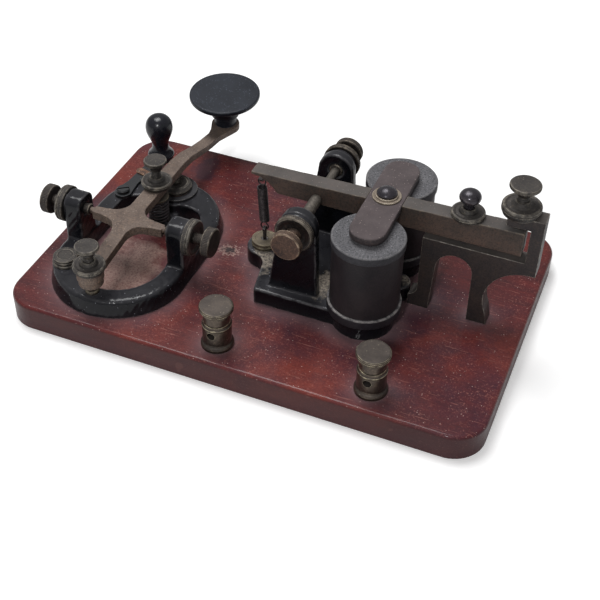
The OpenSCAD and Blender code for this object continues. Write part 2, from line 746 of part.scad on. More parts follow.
module sounder_lever_side() {
  polygon([[bar_left, 58.7], [bar_left + 4, 58.2], [bar_left + 7.3, 56.6], [bar_left + 9.4, 54.8],
    [bar_left + 12, bar_low], [bar_right, bar_low], [bar_right, bar_top(bar_right)],
    [bar_left, bar_top(bar_left)]]);
}

module sounder_lever() color("darkgoldenrod") {
  difference() {
    translate([0, sounder_y, 0]) rotate([90, 0, 0])
      linear_extrude(bar_width, center = true) sounder_lever_side();
    translate([axis_x, sounder_y - 10, axis_z]) along_y() cylinder(r = arbor_r, h = 20);
    translate([coil_x - armature_width / 2, sounder_y - 10, armature_top - armature_thick])
      cube([armature_width, 20, 10]);
    translate([strike_x, sounder_y, 45]) cylinder(r = shank_r + running, h = 30);
    // Flat seat for the lock nut
    translate([strike_x, sounder_y, bar_top(strike_x) - 0.2]) cylinder(d = 13.3, h = 4);
    translate([coil_x, sounder_y, armature_top - 8.6]) cylinder(r = 1.8, h = 20);
    translate([eye_x, sounder_y, 50]) cylinder(r = 0.8, h = 9.5);
  }
}

module lever_arbor() color("dimgray") translate([axis_x, fork_y, axis_z]) {
  l = fork_gap + 2.6;
  rotate([90, 0, 0]) cylinder(r = arbor_r, h = l, center = true);
}

module armature() color([0.35, 0.3, 0.28]) {
  w = armature_width / 2;
  l = armature_length / 2;
  corner = 5.5;
  bow_r = 12;
  translate([coil_x, 0, armature_top - armature_thick]) difference() {
    // Rounded corners and slightly bowed ends
    linear_extrude(armature_thick) translate([0, armature_y]) {
      square([2 * w, 2 * (l - corner - 1.2)], center = true);
      for (x = [-1, 1], y = [-1, 1]) translate([x * (w - corner), y * (l - corner - 1.2)]) circle(corner);
      intersection() {
        square([2 * (w - corner) + 5, 2 * l], center = true);
        for (y = [-1, 1]) translate([0, y * (l - bow_r)]) circle(bow_r);
      }
    }
    translate([0, sounder_y, -1]) cylinder(r = 1.8, h = armature_thick + 2);
  }
}

module armature_washer() color("dimgray") translate([coil_x, sounder_y, armature_top]) difference() {
  union() {
    disc(12, 0.8, 0.2);
    translate([0, 0, 0.8]) disc(9.6, 0.7, 0.2);
  }
  translate([0, 0, -1]) cylinder(r = 1.8, h = 5);
}

module armature_screw() color("dimgray") translate([coil_x, sounder_y, armature_top + 1.5]) {
  r = 5.2;
  cap = 2.9;
  intersection() {
    cylinder(d = 8.4, h = cap + 1);
    translate([0, 0, cap - r]) sphere(r);
  }
  translate([0, 0, -9.6]) cylinder(r = 1.8, h = 10.1);
}

module spring_eye() color("dimgray") translate([eye_x, sounder_y, 0]) difference() {
  union() {
    translate([-0.7, 0, eye_z]) along_x() cylinder(d = 3, h = 1.4);
    translate([0, 0, eye_z + 0.9]) cylinder(r = 0.8, h = 3.6);
  }
  translate([-3, 0, eye_z]) along_x() cylinder(d = 1.4, h = 6);
}

pull_coil_r = (pull_coil_dia - pull_wire) / 2;
pull_loop_r = 1.75;
pull_hook = 2 * pull_loop_r + 0.9;
rod_eye_z = eye_z - 2 * pull_hook - pull_turns * pull_pitch;
pull_steps = pull_turns * 8;
pull_shift = lobe_x - eye_x;
// Upper loop hangs through the lever's eye, lower loop holds the rod's eye
pull_path = concat(
  [for (i = [0 : 12]) let (a = -160 + i * 25)
    [pull_loop_r * sin(a), 0.35 * (12 - i) / 12 - 0.1, eye_z - pull_loop_r + pull_loop_r * cos(a)]],
  [for (i = [3 : pull_steps - 3]) let (a = 180 - i * 45)
    [pull_coil_r * sin(a) + pull_shift * i / pull_steps,
      pull_coil_r * cos(a) * min(1, i / 4, (pull_steps - i) / 4), eye_z - pull_hook - pull_pitch * i / 8]],
  [for (i = [0 : 12]) let (a = -140 + i * 25)
    [pull_shift + pull_loop_r * sin(a), 0.1 - 0.35 * i / 12,
      rod_eye_z + pull_loop_r - pull_loop_r * cos(a)]]);

module sounder_spring() color("gray") translate([eye_x, sounder_y, 0]) tube(pull_path, pull_wire / 2);

module tension_rod() color("dimgray") translate([lobe_x, sounder_y, 0]) difference() {
  union() {
    translate([0, 0, 14.6]) cylinder(r = 1.5, h = casting_top + 3 - 14.6);
    translate([0, 0, casting_top]) cylinder(r = 0.8, h = rod_eye_z - casting_top - 0.9);
    translate([-0.6, 0, rod_eye_z]) along_x() cylinder(d = 2.8, h = 1.2);
  }
  translate([-3, 0, rod_eye_z]) along_x() cylinder(d = 1.4, h = 6);
}

module tension_nut() color("darkkhaki") translate([lobe_x, sounder_y, 0]) difference() {
  union() {
    translate([0, 0, casting_top]) disc(11.5, 3.4, 0.4);
    translate([0, 0, deck + 1]) cylinder(r = 3, h = casting_height);
  }
  translate([0, 0, deck - 1]) cylinder(r = 1.5 + running, h = 20);
}

module tension_collar() color("darkkhaki") translate([lobe_x, sounder_y, deck + 1]) difference() {
  cylinder(d = 7.8, h = 1.3);
  translate([0, 0, -1]) cylinder(r = 3, h = 4);
}

module core(y) color("gray") translate([coil_x, y, 0]) difference() {
  translate([0, 0, casting_top]) cylinder(d = core_dia, h = coil_top + 0.5 - casting_top);
  translate([0, 0, casting_top - 1]) cylinder(r = bolt_r, h = 4.8);
}
module core_near() core(coil_near_y);
module core_far() core(coil_far_y);

module head(y, z, d, h) color([0.2, 0.2, 0.2]) translate([coil_x, y, z]) difference() {
  disc(d, h, 0.5);
  translate([0, 0, -1]) cylinder(d = core_dia, h = h + 2);
}
module lower_head_near() head(coil_near_y, casting_top, coil_low_dia, coil_low_top - casting_top);
module lower_head_far() head(coil_far_y, casting_top, coil_low_dia, coil_low_top - casting_top);
module upper_head_near() head(coil_near_y, coil_high_low, coil_high_dia, coil_top - coil_high_low);
module upper_head_far() head(coil_far_y, coil_high_low, coil_high_dia, coil_top - coil_high_low);

module sleeve(y, outer, inner) translate([coil_x, y, coil_low_top]) difference() {
  cylinder(d = outer, h = coil_high_low - coil_low_top);
  translate([0, 0, -1]) cylinder(d = inner, h = 60);
}
module winding_near() color("seagreen") sleeve(coil_near_y, coil_cover_dia - 1.6, core_dia);
module winding_far() color("seagreen") sleeve(coil_far_y, coil_cover_dia - 1.6, core_dia);
module cover_near() color([0.1, 0.1, 0.1]) sleeve(coil_near_y, coil_cover_dia, coil_cover_dia - 1.6);
module cover_far() color([0.1, 0.1, 0.1]) sleeve(coil_far_y, coil_cover_dia, coil_cover_dia - 1.6);

module anvil_side() {
  leg_left = anvil_foot + 3.6;
  column_left = anvil_right - 5.1;
  arm_left = anvil_right - 14.9;
  arch_r = 7.65;
  arch_x = anvil_right - 32.75;
  arch_z = 35.85;
  hollow_x = anvil_right - 1.9;
  hollow_r = 17.2;
  difference() {
    polygon([[anvil_foot, deck], [anvil_foot, 22], [leg_left, 22], [leg_left, anvil_beam],
      [column_left, anvil_beam], [column_left, anvil_arm_low], [arm_left, anvil_arm_low],
      [arm_left, anvil_top], [anvil_right, anvil_top], [anvil_right, deck]]);
    // Hollow at the left foot
    translate([anvil_foot - 1, 22]) circle(leg_left - anvil_foot + 1);
    // Round arch between the legs
    translate([arch_x, arch_z]) circle(arch_r);
    polygon([[arch_x - 8.95, deck - 1], [arch_x - arch_r, arch_z],
      [arch_x + arch_r, arch_z], [arch_x + 7.95, deck - 1]]);
    // Hollow under the right end
    translate([hollow_x, 26]) circle(hollow_r);
    polygon([[hollow_x - 14.1, deck - 1], [hollow_x - 17.18, 27], [hollow_x, 27],
      [anvil_right + 10, 27], [anvil_right + 10, deck - 1]]);
  }
}

module anvil() color("darkgoldenrod") difference() {
  translate([0, sounder_y + (anvil_thick - bar_width) / 2, 0])
    rotate([90, 0, 0]) linear_extrude(anvil_thick, center = true) anvil_side();
  translate([back_x, sounder_y, 60]) cylinder(r = shank_r + running, h = 20);
  for (p = bolt_places) translate([p.x, p.y, deck - 1]) cylinder(r = bolt_r, h = p.z - 1);
}

module down_stop_screw() color("dimgray") translate([strike_x, sounder_y, anvil_beam + strike_gap]) {
  cylinder(r1 = shank_r - 0.6, r2 = shank_r, h = 0.6);
  translate([0, 0, 0.6]) cylinder(r = shank_r, h = 18);
  translate([0, 0, 22.1]) sphere(4.4);
}

module down_stop_locknut() color("darkkhaki") translate([strike_x, sounder_y, bar_top(strike_x) - 0.19])
  locknut(12.7, 2.8, shank_r + running);

module up_stop_screw() color("darkkhaki") translate([back_x, sounder_y, bar_top(back_x) + 0.09])
  knurled_screw(83.7 - bar_top(back_x) - 0.09, 11.4, 4);

module up_stop_locknut() color("darkkhaki") translate([back_x, sounder_y, anvil_top])
  locknut(14.5, 4.1, shank_r + running);

/* Binding posts */

module post(x) color("darkkhaki") translate([x, post_y, deck]) difference() {
  union() {
    rotate_extrude() polygon([[0, 0], [6.75, 0], [6.75, 1.6], [6.4, 2.6], [5.6, 3.4], [5.2, 4.2],
      [5.2, 13.2], [0, 13.2]]);
  }
  translate([0, -10, 8.6]) along_y() cylinder(d = wire_bore, h = 20);
  translate([0, 0, 8.6]) cylinder(r = 2 + running, h = 10);
  translate([0, 0, -1]) cylinder(r = bolt_r, h = 5);
}
module post_left() post(post_left_x);
module post_right() post(post_right_x);

module thumb_screw(x) color("darkkhaki") translate([x, post_y, deck]) {
  translate([0, 0, 10.3]) cylinder(r = 2, h = 4);
  rotate_extrude() polygon([[0, 13.24], [5.5, 13.24], [5.7, 14], [5.7, 17], [5.2, 18.1], [5.3, 18.6],
    [6.3, 18.9], [6.5, 19.4], [6.5, 20.3], [6.05, 20.9], [0, 21]]);
}
module thumb_screw_left() thumb_screw(post_left_x);
module thumb_screw_right() thumb_screw(post_right_x);

echo(key_spring_gap = self_gap(key_coil_path, 5) - key_wire);
echo(sounder_spring_gap = self_gap(pull_path, 5) - pull_wire);

base_board();
hookup_wires();
frame_bolts();
key_frame();
frame_terminal_screw();
rest_anvil();
key_trunnion_screw_left();
key_trunnion_screw_right();
key_locknuts();
key_lever();
key_knob();
knob_screw();
lever_contact();
tension_screw();
tension_locknut();
key_spring();
spring_cap();
gap_screw();
gap_locknut();
contact_stud();
insulating_bush();
insulating_washer();
contact_nut();
contact_strap();
closer_blade();
closer_pivot();
closer_handle();
sounder_frame();
sounder_trunnion_screw_near();
sounder_trunnion_screw_far();
sounder_locknuts();
sounder_lever();
lever_arbor();
armature();
armature_washer();
armature_screw();
spring_eye();
sounder_spring();
tension_rod();
tension_nut();
tension_collar();
core_near();
core_far();
lower_head_near();
lower_head_far();
upper_head_near();
upper_head_far();
winding_near();
winding_far();
cover_near();
cover_far();
anvil();
down_stop_screw();
down_stop_locknut();
up_stop_screw();
up_stop_locknut();
post_left();
post_right();
thumb_screw_left();
thumb_screw_right();
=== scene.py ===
import bpy
import bmesh
import json
import math
import numpy as np
from mathutils import Matrix, Vector


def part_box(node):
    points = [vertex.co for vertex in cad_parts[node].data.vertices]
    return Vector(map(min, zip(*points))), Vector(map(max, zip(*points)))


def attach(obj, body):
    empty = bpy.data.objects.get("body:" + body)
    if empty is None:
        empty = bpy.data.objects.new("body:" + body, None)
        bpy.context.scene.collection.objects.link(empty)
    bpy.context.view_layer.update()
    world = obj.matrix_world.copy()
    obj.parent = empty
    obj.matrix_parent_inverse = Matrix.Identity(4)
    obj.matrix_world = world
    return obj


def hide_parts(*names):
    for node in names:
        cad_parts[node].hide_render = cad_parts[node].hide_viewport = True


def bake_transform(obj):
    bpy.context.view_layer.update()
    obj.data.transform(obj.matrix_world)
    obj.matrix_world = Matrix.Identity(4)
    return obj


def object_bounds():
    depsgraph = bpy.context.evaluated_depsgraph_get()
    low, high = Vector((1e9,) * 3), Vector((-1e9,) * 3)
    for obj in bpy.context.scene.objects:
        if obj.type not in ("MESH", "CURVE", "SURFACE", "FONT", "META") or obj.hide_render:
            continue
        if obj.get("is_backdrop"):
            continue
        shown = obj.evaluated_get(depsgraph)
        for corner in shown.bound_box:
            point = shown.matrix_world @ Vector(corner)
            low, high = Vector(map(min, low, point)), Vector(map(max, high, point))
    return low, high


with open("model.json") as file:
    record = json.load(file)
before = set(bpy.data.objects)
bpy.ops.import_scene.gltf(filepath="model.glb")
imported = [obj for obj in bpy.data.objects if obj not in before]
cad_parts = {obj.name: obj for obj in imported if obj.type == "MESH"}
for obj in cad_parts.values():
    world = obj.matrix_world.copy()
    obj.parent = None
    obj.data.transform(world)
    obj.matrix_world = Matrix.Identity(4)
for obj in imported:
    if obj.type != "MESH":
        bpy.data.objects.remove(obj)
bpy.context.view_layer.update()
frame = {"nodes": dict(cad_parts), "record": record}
cadNodes = frame["nodes"]
nodeSlot = {part["node"]: part["material_slot"] for part in frame["record"]["subparts"]}
nodeBody = {node: body for body, members in frame["record"]["behaviour"]["bodies"].items()
            for node in members}
mm = 0.001
print("frame loaded:", len(cadNodes), "nodes")

photoCamera = {
    "place": (0.141660, -0.352375, 0.333077),
    "right": (0.926105, 0.376812, 0.018840),
    "up": (-0.264604, 0.613086, 0.744393),
    "lens": 67.73,
}


def placeCamera(settings):
    data = bpy.data.cameras.new("photoCamera")
    data.lens, data.sensor_width = settings["lens"], 36
    data.clip_start, data.clip_end = 0.01, 20
    cam = bpy.data.objects.new("photoCamera", data)
    bpy.context.scene.collection.objects.link(cam)
    right, up = Vector(settings["right"]).normalized(), Vector(settings["up"]).normalized()
    turn = Matrix((right, up, right.cross(up))).transposed().to_4x4()
    cam.matrix_world = Matrix.Translation(settings["place"]) @ turn
    bpy.context.scene.camera = cam


placeCamera(photoCamera)


def tint(r, g, b):
    # 0-255 as a screen shows it, to the linear colour that a shader takes
    shown = (r / 255, g / 255, b / 255)
    return tuple(v / 12.92 if v < 0.0404 else ((v + 0.055) / 1.055) ** 2.4 for v in shown) + (1,)


class Surface:
    # One material's node graph, with the few moves that every finish here uses
    def __init__(self, name, **shader):
        self.mat = bpy.data.materials.new(name)
        self.mat.use_nodes = True
        self.tree = self.mat.node_tree
        self.shader = self.tree.nodes["Principled BSDF"]
        self.coords = self.node("ShaderNodeTexCoord").outputs["Object"]
        self.normal = self.node("ShaderNodeNewGeometry").outputs["Normal"]
        for socket, value in shader.items():
            self.shader.inputs[socket.replace("_", " ")].default_value = value

    def node(self, kind, values=None, **props):
        n = self.tree.nodes.new(kind)
        for key, value in props.items():
            setattr(n, key, value)
        for socket, value in (values or {}).items():
            self.put(n.inputs[socket], value)
        return n

    def put(self, socket, value):
        if isinstance(value, bpy.types.NodeSocket):
            self.tree.links.new(value, socket)
        else:
            socket.default_value = value

    def mapped(self, scale=(1, 1, 1), place=(0, 0, 0), turn=(0, 0, 0)):
        return self.node("ShaderNodeMapping", {"Vector": self.coords, "Scale": scale, "Location": place,
                                               "Rotation": turn}).outputs[0]

    def noise(self, scale, detail=4, rough=0.55, vector=None, distortion=0.0):
        return self.node("ShaderNodeTexNoise",
                         {"Vector": vector or self.coords, "Scale": scale, "Detail": detail,
                          "Roughness": rough, "Distortion": distortion}).outputs["Fac"]

    def math(self, operation, a, b=0.0, clamp=False):
        return self.node("ShaderNodeMath", {0: a, 1: b}, operation=operation, use_clamp=clamp).outputs[0]

    def times(self, *values):
        result = values[0]
        for value in values[1:]:
            result = self.math("MULTIPLY", result, value)
        return result

    def plus(self, a, b):
        return self.math("ADD", a, b, True)

    def span(self, value, low, high, toLow=0.0, toHigh=1.0):
        return self.node("ShaderNodeMapRange", {"Value": value, "From Min": low, "From Max": high,
                                                "To Min": toLow, "To Max": toHigh}).outputs[0]

    def blend(self, share, a, b):
        n = self.node("ShaderNodeMix", data_type="RGBA", blend_type="MIX")
        self.put(n.inputs[0], share)
        self.put(n.inputs[6], a)
        self.put(n.inputs[7], b)
        return n.outputs[2]

    def grains(self, scale, size, share):
        # Small round specks: some cells of a fine pattern carry one each
        cells = self.node("ShaderNodeTexVoronoi", {"Vector": self.coords, "Scale": scale})
        pick = self.node("ShaderNodeSeparateColor", {"Color": cells.outputs["Color"]}).outputs[0]
        speck = self.span(cells.outputs["Distance"], size, size * 0.45)
        return self.times(speck, self.span(pick, 1 - share, 1 - share * 0.9))

    def vector(self, operation, *values):
        return self.node("ShaderNodeVectorMath", dict(enumerate(values)), operation=operation).outputs

    def facingUp(self, low, high):
        return self.span(self.node("ShaderNodeSeparateXYZ", {"Vector": self.normal}).outputs["Z"], low, high)

    def sheltered(self, distance):
        # 1 deep in corners, 0 in the open
        light = self.node("ShaderNodeAmbientOcclusion", {"Distance": distance}, samples=4).outputs["AO"]
        return self.span(light, 0.92, 0.35)

    def edges(self, radius, low=0.015, high=0.16):
        # 1 where the surface turns a corner, for worn edges and for the painted highlights along rims
        soft = self.node("ShaderNodeBevel", {"Radius": radius}, samples=4).outputs[0]
        same = self.vector("DOT_PRODUCT", soft, self.normal)["Value"]
        return self.span(same, 1 - low, 1 - high)

    def standsOut(self):
        # Above 0 on a piece's own rims and corners, below 0 in its grooves
        return self.node("ShaderNodeAttribute", attribute_name="standsOut").outputs["Fac"]

    def spot(self, centre, radii, ragged, scale):
        # Soft-edged patch round a place on the piece
        place = self.vector("SUBTRACT", self.coords, centre)[0]
        share = self.vector("MULTIPLY", place, [1 / r for r in radii])[0]
        far = self.vector("LENGTH", share)["Value"]
        wander = self.span(self.noise(scale, 3), 0.3, 0.7, -ragged, ragged)
        return self.span(self.math("ADD", far, wander), 1.1, 0.6)

    def bump(self, height, distance, strength):
        values = {"Height": height, "Distance": distance, "Strength": strength}
        return self.node("ShaderNodeBump", values).outputs[0]

    def finish(self, colour, roughness, normal=None):
        self.put(self.shader.inputs["Base Color"], colour)
        self.put(self.shader.inputs["Roughness"], roughness)
        if normal:
            self.put(self.shader.inputs["Normal"], normal)
        return self.mat


usualDust = {"patch": 90, "reach": 0.005, "grain": 700, "grainSize": 0.24, "dulls": 0.5}


def dusted(s, colour, roughness, own):
    # Thin film of dust on what faces up, more in corners, and single grains on top
    dust = {**usualDust, "grainColour": own["colour"], **own}
    patches = s.span(s.noise(dust["patch"], 5, 0.62), 0.3, 0.7, 0.45, 1)
    film = s.times(s.facingUp(0.15, 0.85), patches, dust["film"])
    corners = s.times(s.sheltered(dust["reach"]), s.facingUp(-0.3, 0.8), dust["corners"])
    share = s.plus(film, corners)
    colour = s.blend(share, colour, dust["colour"])
    bits = s.times(s.grains(dust["grain"], dust["grainSize"], dust["grains"]), s.facingUp(0.0, 0.5))
    colour = s.blend(bits, colour, dust["grainColour"])
    return colour, s.plus(roughness, s.times(share, dust["dulls"]))


mahogany = {
    "base": tint(80, 27, 29), "dark": tint(54, 20, 27), "light": tint(108, 38, 35), "pore": tint(36, 14, 19),
    # side is a painted shade on the board's sides
    "worn": tint(170, 112, 100), "side": tint(52, 16, 17), "shade": tint(52, 28, 44),
    "patch": tint(128, 50, 37), "hole": tint(40, 28, 28), "halo": tint(166, 138, 128),
    "oldHole": (-29.5 * mm, 0.1 * mm, 12 * mm), "holeRadii": (3.6 * mm, 1.9 * mm, 4 * mm),
    "haloRadii": (5.2 * mm, 3.2 * mm, 5 * mm),
    "darkPatch": (-65.5 * mm, 54 * mm, 12 * mm), "darkPatchRadii": (7 * mm, 13 * mm, 9 * mm),
    "ringDust": (-68 * mm, -29 * mm, 12 * mm), "ringRadii": (19 * mm, 22 * mm, 9 * mm),
    "grainRun": (1, 7, 7), "poreRun": (1, 16, 16), "scratchRun": (1, 18, 1), "scratchTurn": 0.9,
    "dust": {"colour": tint(130, 108, 112), "film": 0.05, "corners": 0.85, "reach": 0.01, "grains": 0.12,
             "grain": 1000, "patch": 40, "grainColour": tint(190, 160, 152)},
}


def mahoganyFinish(c):
    s = Surface("mahogany", Coat_Weight=0.28, Coat_Roughness=0.1, Specular_IOR_Level=0.15)
    figure = s.noise(30, 6, 0.6, s.mapped(c["grainRun"]), 0.7)
    colour = s.blend(s.span(figure, 0.3, 0.68), c["dark"], c["light"])
    colour = s.blend(0.5, colour, c["base"])
    patches = s.noise(13, 5, 0.6, distortion=0.6)
    colour = s.blend(s.span(patches, 0.48, 0.64, 0, 0.8), colour, c["patch"])
    pores = s.noise(260, 3, 0.55, s.mapped(c["poreRun"]))
    colour = s.blend(s.span(pores, 0.55, 0.72, 0, 0.35), colour, c["pore"])
    mottle = s.noise(26, 5, 0.65)
    colour = s.blend(s.span(mottle, 0.46, 0.68, 0, 0.75), colour, c["shade"])
    speckle = s.noise(1300, 3, 0.7)
    colour = s.blend(s.span(speckle, 0.47, 0.36, 0, 0.35), colour, c["pore"])
    flecks = s.times(s.span(speckle, 0.57, 0.72), s.span(s.noise(60, 4, 0.6), 0.35, 0.65, 0.1, 0.7))
    colour = s.blend(flecks, colour, c["worn"])
    slant = s.mapped(c["scratchRun"], turn=(0, 0, c["scratchTurn"]))
    scratches = s.span(s.noise(110, 2, 0.4, slant, 0.3), 0.69, 0.70, 0, 0.35)
    colour = s.blend(scratches, colour, c["worn"])
    colour = s.blend(s.times(s.edges(0.0012), 0.5), colour, c["light"])
    # A darker patch on the board behind the key's ring
    darkPatch = s.spot(c["darkPatch"], c["darkPatchRadii"], 0.4, 120)
    colour = s.blend(s.times(darkPatch, 0.75), colour, c["shade"])
    # The old screw hole is only a bump dent, so its dark middle is painted: shade inside the hole, with worn
    # wood
    hole = s.spot(c["oldHole"], c["holeRadii"], 0.5, 700)
    rim = s.spot(c["oldHole"], c["haloRadii"], 0.9, 900)
    colour = s.blend(s.times(rim, 0.7), colour, c["halo"])
    colour = s.blend(hole, colour, c["hole"])
    powder = s.span(s.noise(1100, 4, 0.7), 0.3, 0.56, 0.3, 1)
    inRing = s.times(s.spot(c["ringDust"], c["ringRadii"], 0.5, 90), powder)
    colour = s.blend(s.times(inRing, 0.85), colour, c["halo"])
    colour = s.blend(s.times(s.facingUp(0.75, 0.1), 0.75), colour, c["side"])  # painted shade: the board's sides are darker than its top, as the light falls from above
    colour, roughness = dusted(s, colour, s.span(mottle, 0.3, 0.7, 0.36, 0.5), c["dust"])
    height = s.math("ADD", s.times(pores, 0.5), s.times(s.noise(22, 3), 1.2))
    height = s.math("SUBTRACT", height, s.times(hole, 3.0))
    return s.finish(colour, roughness, s.bump(height, 0.00025, 0.5))


japan = {
    "base": tint(12, 13, 18), "worn": tint(38, 39, 44), "edge": tint(120, 118, 120), "wearAndHighlightShare": 0.4,
    "dust": {"colour": tint(96, 95, 100), "film": 0.19, "corners": 0.4, "reach": 0.006, "grains": 0.12,
             "grain": 1000, "patch": 60, "grainColour": tint(150, 152, 160)},
    "heap": tint(150, 140, 128),
    "heaps": [  # where dust lies thick, and how far it reaches
        ((-9 * mm, -9 * mm, 20 * mm), (7 * mm, 9 * mm, 2 * mm)),
        ((21 * mm, -13 * mm, 20 * mm), (5 * mm, 9 * mm, 2 * mm)),
        ((54 * mm, 5 * mm, 20 * mm), (5 * mm, 4.5 * mm, 2 * mm)),
    ],
}


def japanFinish(c):
    s = Surface("japan", Coat_Weight=0.3, Coat_Roughness=0.05, Specular_IOR_Level=0.1)
    colour = s.blend(s.span(s.noise(70, 5, 0.65), 0.58, 0.72, 0, 0.45), c["base"], c["worn"])
    # Painted highlight along the casting's corners in the lighter edge colour, over some real wear of the
    # enamel
    broken = s.span(s.noise(260, 4, 0.6), 0.35, 0.6)
    wornAndHighlit = s.times(s.span(s.standsOut(), 0.2, 0.7), broken, c["wearAndHighlightShare"])
    colour = s.blend(wornAndHighlit, colour, c["edge"])
    gloss = s.span(s.noise(120, 3), 0.3, 0.7, 0.2, 0.34)
    colour, roughness = dusted(s, colour, gloss, c["dust"])
    fine = s.span(s.noise(1100, 3, 0.6), 0.3, 0.6)
    for centre, radii in c["heaps"]:
        heap = s.times(s.spot(centre, radii, 0.5, 260), s.facingUp(0.3, 0.8), fine)
        colour, roughness = s.blend(heap, colour, c["heap"]), s.plus(roughness, s.times(heap, 0.5))
    height = s.math("ADD", s.noise(130, 3, 0.5), s.times(s.noise(600, 2), 0.25))
    return s.finish(colour, roughness, s.bump(height, 0.0004, 0.45))
